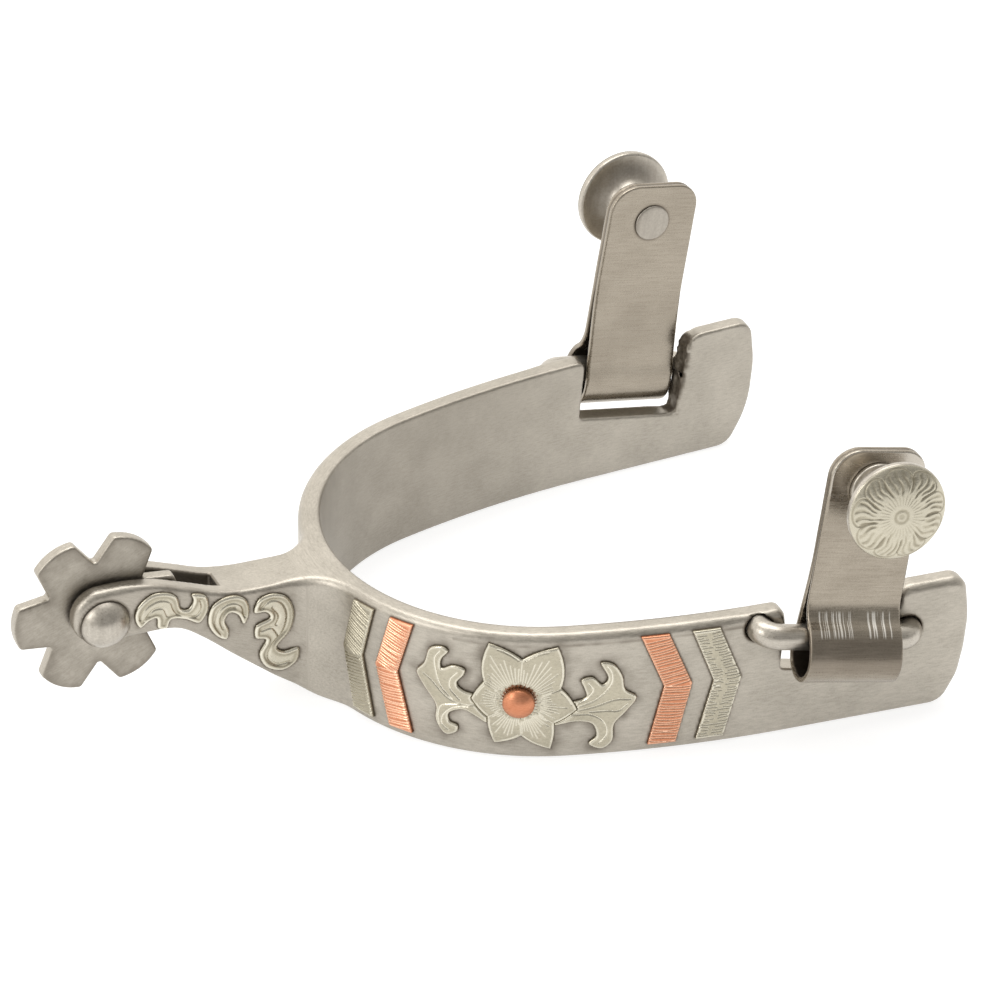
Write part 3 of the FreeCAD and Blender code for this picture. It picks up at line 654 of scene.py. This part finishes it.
def make_rowel():
    outline = rowel_outline()

    def field(points):
        x, y, z = points.T
        star = round_and(polygon_distance(outline, x, z), np.abs(y) - ROWEL_HALF, 0.5)
        return np.maximum(star, ROWEL_BORE - np.hypot(x - PIN_X, z - PIN_Z))

    verts, faces = mesh_field(field, (PIN_X - 17, -2, PIN_Z - 17), (PIN_X + 17, 2, PIN_Z + 17), 0.3)
    x, y, z = verts.T
    face = smoothstep(1.0, 1.2, np.abs(y))
    patina_and_painted_light = face * (0.26 * peak(polygon_distance(outline, x, z), 1.3) + 0.22 * value_noise(verts, 2.2)
                     + 0.16 * value_noise(verts + 5, 0.7))
    add_piece("star_rowel", verts, faces, satin, "rowel_wheel", "satin_steel", ("rowel",),
              np.stack([x * 0.9 + z * 0.4, y, z * 0.9 - x * 0.4], -1), patina_and_painted_light)


# ---- turned pieces -------------------------------------------------------------------------
def add_turned(name, profile, centre, axis, around, material, body, slot, replaced, patina_and_painted_light):
    """Piece turned from (radius, height) pairs, the first and last of them on the axis."""
    steps = 96
    third = np.cross(axis, around)
    angles = np.linspace(0, 2 * math.pi, steps, endpoint=False)
    spokes = np.cos(angles)[:, None] * around + np.sin(angles)[:, None] * third
    ends = [[centre + axis * height] for height in (profile[0][1], profile[-1][1])]
    rings = [centre + axis * h + spokes * r for r, h in profile[1:-1]]
    verts = np.concatenate([ends[0], *rings, ends[1]])
    last_ring = 1 + (len(rings) - 1) * steps
    faces = []
    for j in range(steps):
        k = (j + 1) % steps
        faces.append((0, 1 + k, 1 + j))
        faces += [(a + j, a + k, a + steps + k, a + steps + j) for a in range(1, last_ring, steps)]
        faces.append((last_ring + j, last_ring + k, last_ring + steps))
    local = verts - centre
    u, v, h = local @ around, local @ third, local @ axis
    add_piece(name, verts, faces, material, body, slot, replaced,
              np.stack([u * 8, v * 0.6, h * 0.6], -1), patina_and_painted_light(np.hypot(u, v), h))


def dome(radius, height, steps):
    """Part of a sphere as (r, h) pairs, from just below its top down to its rim at height 0."""
    ball = (radius ** 2 + height ** 2) / (2 * height)
    return [(ball * math.sin(a), ball * math.cos(a) + height - ball)
            for a in np.linspace(0, math.asin(radius / ball), steps)][1:]


def make_pin():
    head = dome(PIN_HEAD_R, PIN_HEAD_H, 14)
    end = SHANK_HALF + PIN_HEAD_H
    profile = [(0, -end), *[(r, -SHANK_HALF - h) for r, h in head], (PIN_R, -SHANK_HALF),
               (PIN_R, SHANK_HALF), *[(r, SHANK_HALF + h) for r, h in reversed(head)], (0, end)]

    def patina_and_painted_light(r, h):
        return 0.6 * peak(r - PIN_HEAD_R, 0.25)

    add_turned("rowel_pin_rivet", profile, np.array([PIN_X, 0, PIN_Z]), np.array([0, 1, 0]),
               np.array([1, 0, 0]), bright, "spur_frame", "bright_steel", ("rowel_pin",), patina_and_painted_light)


# ---- staples -------------------------------------------------------------------------------
def make_staple(side):
    centre, axes = HINGES[side]
    inner = HINGE_OUT + STAPLE_HOLE_DEPTH
    path = [(-ROD_REAR, -inner), *arc(ROD_BEND, ROD_BEND, (ROD_BEND - ROD_REAR, -ROD_BEND), 180, 90, 9),
            *arc(ROD_BEND, ROD_BEND, (ROD_FRONT - ROD_BEND, -ROD_BEND), 90, 0, 9), (ROD_FRONT, -inner)]
    path = [np.array([a, b, 0.0]) for a, b in path]

    def field(points):
        rod = line_distance(path, *points.T) - ROD_R
        return np.maximum(rod, -(points[:, 1] + inner)) + 0.03 * (value_noise(points, 2.2) - 0.5)

    verts, faces = mesh_field(field, (-19, -6.2, -3.2), (17, 3.2, 3.2), 0.35)
    patina_and_painted_light = 0.25 * peak(verts[:, 1] + 2.2, 1.2) * value_noise(verts, 2)
    name = SIDE_NAMES[side]
    add_piece(name + "_staple_rod", verts @ axes + centre, faces, bright, "spur_frame", "bright_steel",
              (name + "_hinge_staple",), verts, patina_and_painted_light)


# ---- hangers -------------------------------------------------------------------------------
def hermite(p0, t0, p1, t1, steps=12):
    """Curve between two points that leaves and arrives in the given directions."""
    p0, p1 = np.array(p0, float), np.array(p1, float)
    scale = np.linalg.norm(p1 - p0)
    t0, t1 = np.array(t0) * scale, np.array(t1) * scale
    out = []
    for t in np.linspace(0, 1, steps):
        out.append((2 * t ** 3 - 3 * t ** 2 + 1) * p0 + (t ** 3 - 2 * t ** 2 + t) * t0
                   + (3 * t ** 2 - 2 * t ** 3) * p1 + (t ** 3 - t ** 2) * t1)
    return out


def sheet_line():
    """Middle of the folded sheet, seen along the rod, as (n, w) from the inner to the outer leaf."""
    offset = (LEAF_T + LEAF_GAP) / 2
    inner, outer = LEAF_MID - offset, LEAF_MID + offset

    def on_eye(degrees):
        return polar((EYE_OUT, -EYE_DROP), EYE_R - LEAF_T / 2, degrees)

    def over_rod(degrees):
        return polar((0, 0), ROD_R + 0.4 + LEAF_T / 2, degrees)

    line = [(inner, HANGER_TOP + 2), (inner, INNER_BLEND)]
    line += hermite((inner, INNER_BLEND), (0, -1), over_rod(160), (-0.13, -1))[1:]
    line += hermite(over_rod(160), (-0.13, -1), on_eye(180), (0, -1))[1:]
    line += [on_eye(d) for d in np.linspace(180, 374, 26)][1:]
    outer_line = hermite((outer, OUTER_BLEND), (0, -1), over_rod(62), (0.75, -0.6))
    outer_line += hermite(over_rod(62), (0.75, -0.6), over_rod(36), (0.62, -0.75), 6)[1:]
    outer_line += hermite(over_rod(36), (0.62, -0.75), on_eye(14), polar((0, 0), 1, 14 - 90))[1:]
    return [np.array(p) for p in line + outer_line[::-1][1:] + [(outer, HANGER_TOP + 2)]]


SHEET = sheet_line()
HANGER_OUTLINE = rounded_polygon([(-HANGER_HALF, -12, 0), (HANGER_HALF, -12, 0),
                                  (HANGER_HALF, HANGER_TOP, 4.2), (-HANGER_HALF, HANGER_TOP, 5.4)], 12)


def make_hanger(side):
    centre, axes = hanger_axes(side)

    def field(points):
        a, n, w = points.T
        sheet = line_distance(SHEET, n, w) - LEAF_T / 2
        outline = polygon_distance(HANGER_OUTLINE, a, w)
        strap = round_and(sheet, outline, 0.28)
        hole = np.hypot(a, w - BUTTON_W) - POST_R - 0.1
        # the closed leaves touch just inside their edges, so only a seam shows between them
        closed = np.maximum(np.abs(n - LEAF_MID) - 0.3, np.maximum(outline + 0.25, INNER_BLEND - w))
        strap = np.minimum(strap, closed)
        return np.maximum(strap, -hole) + 0.03 * (value_noise(points, 4.0) - 0.5)

    verts, faces = mesh_field(field, (-9.8, -5.5, -9.2), (9.8, 6.6, HANGER_TOP + 0.8), 0.3)
    a, n, w = verts.T
    # painted shade round the rivet head, inside the eye, on the fold's outer bulge and in the seam
    # between the leaves
    shade_round_rivet = 0.55 * peak(np.hypot(a, w - BUTTON_W) - POST_HEAD_R, 0.3) * (n < LEAF_MID)
    shade_in_eye = 0.75 * (np.hypot(n - EYE_OUT, w + EYE_DROP) < EYE_R - LEAF_T + 0.15) * (w < 4)
    shade_on_fold = 0.36 * plateau(w, -6.5, -3.5, 0.5, 3.2) * (n > 1.5)
    shade_in_seam = 0.6 * peak(n - LEAF_MID, 0.32) * (w > 5)
    # painted highlight: the outer leaf is lightened from the button upwards
    highlight_behind_button = 0.3 * smoothstep(27, 29, w) * (n > LEAF_MID + 0.9)
    patina_and_painted_light = np.maximum.reduce([shade_round_rivet, shade_in_eye, shade_on_fold, shade_in_seam]) - highlight_behind_button
    name = SIDE_NAMES[side]
    add_piece(name + "_strap", verts @ axes + centre, faces, strap_steel, name + "_strap_hanger",
              "bright_steel", (name + "_hanger",), verts, patina_and_painted_light)


# ---- buttons -------------------------------------------------------------------------------
def make_button(side):
    centre, axes = hanger_axes(side)
    base = centre + axes[2] * BUTTON_W + axes[1] * LEAF_MID
    name = SIDE_NAMES[side]
    seat = LEAF_GAP / 2 + LEAF_T + 0.05
    back = -(seat + POST_HEAD_H)
    rim_back = BUTTON_FACE - BUTTON_RIM
    neck_end = rim_back - 3.4
    profile = [(0, back), (1.6, back + 0.01), (2.6, back + 0.06),
               *arc(0.4, 0.3, (POST_HEAD_R - 0.4, back + 0.4), -70, 0, 6), (POST_HEAD_R, -seat),
               (POST_R, -seat), (POST_R, seat), (4.8, seat),
               *arc(0.4, 0.4, (4.8, seat + 0.4), -90, 0, 4), *arc(0.4, 0.4, (4.8, seat + 0.8), 0, 90, 4),
               (4.15, seat + 1.5), (4.0, seat + 2.0),
               (4.0, neck_end - 1.0), (4.0, neck_end), (4.3, neck_end + 1.0), (5.0, neck_end + 2.0),
               (6.2, neck_end + 2.8), (BUTTON_R - 1.6, rim_back - 0.05),
               *arc(0.55, 0.55, (BUTTON_R - 0.55, rim_back + 0.55), -90, 0, 5),
               *arc(0.45, 0.45, (BUTTON_R - 0.45, BUTTON_FACE - 0.45), 0, 90, 5), (0, BUTTON_FACE)]

    def patina_and_painted_light(r, h):
        # painted shade under the disc's cone, on the back of the rivet head and where the post meets the
        # leaf on both sides
        cone_shade = 0.40 * plateau(r, 4.0, 5.0, 7.2, 8.6) * (h > seat + 2) * (h < rim_back + 0.3)
        rivet = 0.2 * (h < back + 0.45)
        return np.maximum(cone_shade + rivet, 0.7 * peak(np.abs(h) - seat, 0.2) * (r > 3))

    add_turned(name + "_button_post", profile, base, axes[1], axes[0], bright,
               name + "_strap_button", "bright_steel", (name + "_button",), patina_and_painted_light)
    make_cap(name, base + axes[1] * BUTTON_FACE, axes)


def make_cap(name, base, axes):
    """Domed cap engraved with a rosette: fanned lines in each petal round a small boss."""
    rings, steps, petals = 90, 480, 9
    radii = CAP_R * np.sin(np.linspace(0, math.pi / 2, rings + 1)[1:]) ** 0.8
    angles = np.linspace(0, 2 * math.pi, steps, endpoint=False)
    r, t = np.meshgrid(radii, angles, indexing="ij")
    height = CAP_H * (1 - (r / CAP_R) ** 2.3) ** 0.75
    wander = 0.35 * np.sin(t * 5 + 1.3) + 0.2 * np.sin(t * 11)
    phase = t * petals / (2 * math.pi) + 0.10 * np.sin(r * 0.7 + t * 3)
    across = np.abs(phase - np.round(phase)) * 2  # 0 at a petal's edge, 1 in its middle
    petal_end = CAP_R - 0.35 - 1.6 * (1 - np.sqrt(np.clip(1 - (1 - across) ** 2, 0, 1)))
    arc_width = math.pi * r / petals
    edge_line = peak(across * arc_width, 0.17) * smoothstep(4.2 + wander, 5.4, r) * (r < petal_end)
    end_line = peak(r - petal_end, 0.15)
    ripple = 0.16 * np.sin(r * 1.7 + np.floor(phase) * 2.1)
    ridge = 0.5 + 0.5 * np.cos(2 * math.pi * (phase * 4 + ripple))
    reach = 4.3 + wander + 0.8 * np.sin(np.floor(phase * 5) * 2.4)
    fan = ridge ** 2 * plateau(r, reach, reach + 1.3, petal_end - 0.6, petal_end - 0.2)
    inner_fan = (0.5 + 0.5 * np.cos(t * 34)) ** 3 * plateau(r, 2.0, 2.6, 3.6, 4.6)
    boss = peak(r - 1.2, 0.22) + 0.5 * peak(r - 0.35, 0.2)
    fan = fan * (0.65 + 0.35 * np.sin(np.floor(phase * 4) * 1.7 + r * 0.9))
    carve = np.clip(0.9 * edge_line + 0.75 * fan + 0.5 * end_line + 0.15 * inner_fan + 0.5 * boss, 0, 1)
    height = height - 0.2 * carve * smoothstep(CAP_R, CAP_R - 0.5, r) - 0.01
    around, out, third = axes[0], axes[1], np.cross(axes[1], axes[0])

    def ring(radius, turn, lift):
        return base + out * lift + (around * np.cos(turn) + third * np.sin(turn)) * radius

    points = ring(r[..., None], t[..., None], height[..., None]).reshape(-1, 3)
    foot = ring(CAP_R, angles[:, None], -0.05)
    verts = np.concatenate([points, foot, [base + out * (CAP_H - 0.1)], [base - out * 0.05]])
    count = rings * steps
    faces = []
    for j in range(steps):
        k = (j + 1) % steps
        faces += [(a + j, a + steps + j, a + steps + k, a + k) for a in range(0, count, steps)]
        faces += [(count + steps, j, k), (count + steps + 1, count + k, count + j)]
    on_face = 0.40 * carve - 0.20 * (1 - carve) ** 4
    patina_and_painted_light = np.concatenate([on_face.ravel(), np.full(steps, 0.5), [0, 0]])
    add_piece(name + "_engraved_cap", verts, faces, silver, name + "_strap_button", "german_silver",
              (name + "_button_cap",), verts, patina_and_painted_light)


# ---- overlays ------------------------------------------------------------------------------
def groove(lines, u, v, width):
    """Depth from 0 to 1 of engraved lines, each a list of (u, v) points."""
    cut = np.zeros(u.shape)
    for line in lines:
        near = ((u > line[:, 0].min() - 3 * width) & (u < line[:, 0].max() + 3 * width)
                & (v > line[:, 1].min() - 3 * width) & (v < line[:, 1].max() + 3 * width))
        if near.any():
            cut[near] = np.maximum(cut[near], peak(line_distance(line, u[near], v[near]), width))
    return cut


def make_overlay(name, outline, lines, material, slot, to_world, cell=0.14, width=0.17, depth=0.22,
                 crown=0.32, cut_out=None, cut_shine=0.7, sunk=0.0, tone=0.0):
    """Thin plate lying on a wall: a crowned top with engraved lines, in (u, lift, v) space.

    The cut_out polygon is left open for a neighbour. The middle can be sunk below a raised rim. The
    tone is added to the top's patina and painted light: above 0 it darkens the top with painted shade,
    below 0 it lightens it.
    """
    lines = [np.array(line, float) for line in lines]
    low = (outline[:, 0].min() - 0.4, -0.3, outline[:, 1].min() - 0.4)
    high = (outline[:, 0].max() + 0.4, OVERLAY_T + 0.3, outline[:, 1].max() + 0.4)

    def rim_distance(u, v):
        rim = polygon_distance(outline, u, v)
        return rim if cut_out is None else np.maximum(rim, -polygon_distance(cut_out, u, v))

    def field(points):
        u, lift, v = points.T
        rim = rim_distance(u, v)
        top = OVERLAY_T - crown * np.exp(np.minimum(rim, 0) / 0.6) - depth * groove(lines, u, v, width)
        top = top - sunk * smoothstep(-0.5, -1.0, rim)
        plate = round_and(rim, lift - top, 0.25)
        return np.maximum(plate, -0.25 - lift)

    verts, faces = mesh_field(field, low, high, cell)
    u, lift, v = verts.T
    rim = rim_distance(u, v)
    # bright engraved cuts, and a painted highlight along the plate's rounded rim
    shine = np.maximum(cut_shine * groove(lines, u, v, width), 0.45 * peak(rim + 0.25, 0.2))
    sunk_edge = peak(rim + 0.85, 0.3) if sunk else 0
    patina_and_painted_light = (0.75 * (1 - smoothstep(0.05, 0.4, lift))
              + (0.38 * sunk_edge - shine + tone) * smoothstep(0.2, 0.4, lift))
    add_piece(name + "_plate", to_world(verts), faces, material, "spur_frame", slot, (name,),
              verts, patina_and_painted_light)


def wall_world(points):
    s, lift, z = points.T
    x, y = on_wall(s, lift)
    return np.stack([x, y, z], -1)


def shank_world(points):
    x, lift, z = points.T
    return np.stack([x, -SHANK_HALF - lift, z], -1)


def chevron_lines(sizes, slope, spacing, reach, jitter):
    """Short cuts across a bent bar: reach is how far across from each side."""
    top, middle, bottom, width = sizes
    lines = []
    for z in np.arange(2.2, 24.0, spacing):
        left = np.interp(z, (CHEVRON_FOOT, CHEVRON_BEND, CHEVRON_TOP), (bottom, middle, top))
        tilt = slope * (1 if z > CHEVRON_BEND else -0.5)
        for start, end in reach:
            a = start * width + jitter * rng.uniform(-1, 1)
            b = end * width + jitter * rng.uniform(-1, 1)
            bend = rng.uniform(-0.2, 0.2)
            spots = [(left + a, z - tilt * (a / width - 0.5)),
                     (left + (a + b) / 2, z - tilt * ((a + b) / 2 / width - 0.5) + bend),
                     (left + b, z - tilt * (b / width - 0.5) + rng.uniform(-0.15, 0.15))]
            lines.append(catmull(spots, closed=False, steps=4))
    return lines


def petal_ray(degrees, start, end, bow=0.0):
    """Line outwards from the flower's middle, turned by bow degrees on its way."""
    return [polar(FLOWER, r, degrees + bow * (r / end) ** 2) for r in np.linspace(start, end, 5)]


def flower_lines():
    """Rays from the middle of the flower into each petal, rim cuts, and ticks round the dome."""
    lines = []
    for i, (tip_degrees, tip_r) in enumerate(PETAL_TIPS):
        before, after = PETAL_NOTCHES[i], PETAL_NOTCHES[(i + 1) % 6]
        span = (after[0] - before[0]) % 360
        for f in np.linspace(0.10, 0.90, 11):
            edge = before[1] + (tip_r - before[1]) * (1 - abs(f - 0.5) * 2)
            end = edge * rng.uniform(0.60, 0.84)
            start = 3.6 + 0.6 * rng.uniform(0, 1)
            lines.append(petal_ray(before[0] + span * f, start, end, (f - 0.5) * 7))
        lines.append(petal_ray(before[0], 4.4, before[1] - 0.2))
        for side, notch in ((1, before), (-1, after)):
            turn = (tip_degrees - notch[0]) % 360 if side > 0 else -((notch[0] - tip_degrees) % 360)
            lines.append([polar(FLOWER, notch[1] + (tip_r - notch[1]) * k - 0.75, notch[0] + turn * k)
                          for k in np.linspace(0.15, 0.8, 6)])
    lines += [petal_ray(degrees, 3.05, 3.5) for degrees in range(0, 360, 12)]
    return lines


SPRAY_VEINS = {
    "leaf_spray_rear": [
        [(40.8, 10.9), (37.8, 10.6), (34.9, 11.6), (32.3, 14.2), (30.5, 15.4)],
        [(36.1, 11.2), (33.9, 13.6), (32.9, 16.6), (32.7, 19.2), (33.7, 20.8)],
        [(37.5, 11.4), (35.7, 13.4), (35.7, 15.4), (36.9, 17.0)],
        [(38.9, 10.2), (36.3, 9.6), (34.3, 7.6), (34.1, 5.6), (35.3, 4.6)],
        [(36.9, 10.4), (34.1, 9.6), (33.3, 7.4), (33.5, 5.4)]],
    "leaf_spray_front": [
        [(55.1, 10.2), (57.9, 10.2), (61.3, 10.8), (65.3, 12.0), (68.1, 11.8)],
        [(58.1, 10.8), (61.9, 12.4), (64.5, 15.2), (64.7, 17.6), (63.9, 19.0)],
        [(57.7, 11.2), (60.3, 12.8), (61.3, 14.4), (60.5, 15.8)],
        [(57.7, 9.4), (60.9, 9.2), (63.3, 7.4), (63.7, 4.8), (62.3, 3.0)],
        [(60.7, 9.8), (63.9, 9.8), (65.9, 9.6), (67.5, 10.8)]]}
SCROLL_VEINS = {
    "shank_scroll_rear": [
        [(-37.6, 24.0), (-36.4, 26.2), (-34.0, 27.2), (-31.8, 26.4), (-31.0, 24.4), (-29.6, 22.9),
         (-27.2, 22.2), (-25.8, 23.6), (-26.0, 25.4)],
        [(-36.8, 23.4), (-35.2, 25.4), (-33.2, 25.4), (-32.4, 23.6)]],
    "shank_scroll_middle": [
        [(-22.0, 16.8), (-23.2, 19.6), (-22.4, 22.4), (-20.2, 23.4), (-18.2, 22.4), (-17.6, 20.0)],
        [(-21.8, 18.4), (-22.2, 20.6), (-21.0, 22.2), (-19.4, 22.2)]],
    "shank_scroll_front": [
        [(-14.4, 20.8), (-12.6, 22.2), (-10.4, 21.2), (-9.4, 18.4), (-10.2, 15.2), (-12.4, 12.8),
         (-13.2, 10.2), (-11.6, 8.4), (-9.2, 8.4)],
        [(-14.4, 16.2), (-12.4, 16.4), (-11.2, 14.6)],
        [(-12.2, 20.6), (-11.0, 18.6), (-11.6, 16.8)]]}


def make_overlays():
    # slope, spacing, how far the cuts reach across from each side, jitter, shine
    hatch = {"silver_chevron_rear": (2.2, 0.60, [(0.05, 0.95)], 0.3, 0.35),
             "copper_chevron_rear": (1.5, 0.55, [(0.03, 0.97)], 0.2, 1.0),
             "copper_chevron_front": (-0.9, 0.56, [(0.03, 0.97)], 0.2, 1.0),
             "silver_chevron_front": (-0.4, 0.58, [(0.04, 0.36), (0.55, 0.97)], 0.5, 0.6)}
    for name, sizes in CHEVRONS.items():
        material, slot = (copper, "copper") if "copper" in name else (silver, "german_silver")
        slope, spacing, reach, jitter, shine = hatch[name]
        # the rear silver chevron's top is darkened with painted shade through its tone
        make_overlay(name, OUTLINES[name], chevron_lines(sizes, slope, spacing, reach, jitter),
                     material, slot, wall_world, cell=0.12, width=0.12, crown=0.12, depth=0.17,
                     cut_shine=shine, tone=0.2 if name == "silver_chevron_rear" else 0.0)
    disc = np.array(arc(FLOWER_HOLE, FLOWER_HOLE, FLOWER, 0, 351, 40))
    make_overlay("flower", OUTLINES["flower"], flower_lines(), silver, "german_silver", wall_world,
                 cell=0.13, width=0.11, depth=0.13, cut_out=disc, cut_shine=0.55)
    for name, veins in SPRAY_VEINS.items():
        smooth = [catmull(line, closed=False, steps=5) for line in veins]
        make_overlay(name, OUTLINES[name], smooth, silver, "german_silver", wall_world,
                     cut_out=OUTLINES["flower"])
    for name, veins in SCROLL_VEINS.items():
        smooth = [catmull(line, closed=False, steps=5) for line in veins]
        # the scrolls' tops are painted lighter through a negative tone
        make_overlay(name, SHANK_OUTLINES[name], smooth, silver, "german_silver", shank_world,
                     width=0.26, crown=0.38, cut_shine=0.3, sunk=0.2, tone=-0.2)


def make_flower_centre():
    base, above = wall_world(np.array([[FLOWER_S, lift, FLOWER_Z]
                                       for lift in (OVERLAY_T - 0.2, OVERLAY_T + 0.8)]))
    profile = [(0, 0), (BOSS_R, 0), (BOSS_R, BOSS_SKIRT)]
    profile += [(r, h + BOSS_SKIRT) for r, h in dome(BOSS_R, BOSS_H - BOSS_SKIRT, 12)[-2::-1]]
    profile.append((0, BOSS_H))

    def patina_and_painted_light(r, h):
        return 0.8 * peak(h, 0.35)

    add_turned("flower_boss", profile, base, above - base, np.array([0, 0, 1.0]), copper, "spur_frame",
               "copper", ("flower_centre",), patina_and_painted_light)


# ---- stage ---------------------------------------------------------------------------------
def make_stage():
    mesh = bpy.data.meshes.new("floor")
    half = 4.0
    corners = [(-half, -half, 0), (half, -half, 0), (half, half, 0), (-half, half, 0)]
    mesh.from_pydata(corners, [], [(0, 1, 2, 3)])
    floor = bpy.data.objects.new("floor", mesh)
    floor.location = (0, 0, -0.0002)
    material = bpy.data.materials.new("floor_paper")
    material.use_nodes = True
    shader = material.node_tree.nodes["Principled BSDF"]
    shader.inputs["Base Color"].default_value = (0.42, 0.42, 0.42, 1)
    shader.inputs["Roughness"].default_value = 0.9
    shader.inputs["Emission Color"].default_value = (1, 1, 1, 1)
    shader.inputs["Emission Strength"].default_value = 0.74
    mesh.materials.append(material)
    bpy.context.scene.collection.objects.link(floor)

    # a white tent, brightest behind the spur and to its left, darker where the camera stands
    world = bpy.data.worlds.new("studio")
    world.use_nodes = True
    nodes, links = world.node_tree.nodes, world.node_tree.links
    background = nodes["Background"]
    background.inputs["Color"].default_value = (1.0, 0.98, 0.945, 1)
    direction, dot = nodes.new("ShaderNodeTexCoord"), nodes.new("ShaderNodeVectorMath")
    dot.operation = "DOT_PRODUCT"
    dot.inputs[1].default_value = (-0.3, 0.95, 0)
    links.new(direction.outputs["Generated"], dot.inputs[0])
    ramp = nodes.new("ShaderNodeMapRange")
    for key, number in (("From Min", -0.85), ("From Max", 0.75), ("To Min", 0.42), ("To Max", 1.42)):
        ramp.inputs[key].default_value = number
    links.new(dot.outputs["Value"], ramp.inputs["Value"])
    links.new(ramp.outputs["Result"], background.inputs["Strength"])
    bpy.context.scene.world = world
    bpy.context.scene.view_settings.view_transform = "Standard"

    def area(name, location, target, size, power):
        light = bpy.data.lights.new(name, "AREA")
        light.shape = "RECTANGLE"
        light.size, light.size_y = size
        light.energy = power
        lamp = bpy.data.objects.new(name, light)
        lamp.location = location
        lamp.rotation_mode = "QUATERNION"
        lamp.rotation_quaternion = (Vector(target) - Vector(location)).to_track_quat("-Z", "Y")
        bpy.context.scene.collection.objects.link(lamp)
    area("overhead_softbox", (0.1, 0.25, 1.0), (0.03, 0, 0), (0.9, 0.5), 4.5)
    area("side_softbox", (-1.0, -0.2, 0.7), (0.03, 0, 0.02), (0.3, 0.6), 2.5)

    camera_data = bpy.data.cameras.new("camera")
    camera_data.sensor_width = 36
    camera_data.lens = 361.98
    camera_data.clip_end = 20
    camera = bpy.data.objects.new("camera", camera_data)
    # the camera stands behind the heel on the decorated side and looks down at the spur
    heading, tilt = math.radians(67.7512), math.radians(31.5128)
    right = np.array([math.sin(heading), -math.cos(heading), 0])
    up = np.array([0, 0, math.cos(tilt)]) + math.sin(tilt) * np.array([-right[1], right[0], 0])
    place = np.array([-0.55410, -1.43806, 0.98191])
    columns = np.stack([right, up, np.cross(right, up), place], -1)
    camera.matrix_world = Matrix([*columns.tolist(), (0, 0, 0, 1)])
    bpy.context.scene.collection.objects.link(camera)
    bpy.context.scene.camera = camera


make_body()
make_rowel()
make_pin()
for side in (-1, 1):
    make_staple(side)
    make_hanger(side)
    make_button(side)
make_overlays()
make_flower_centre()
make_stage()
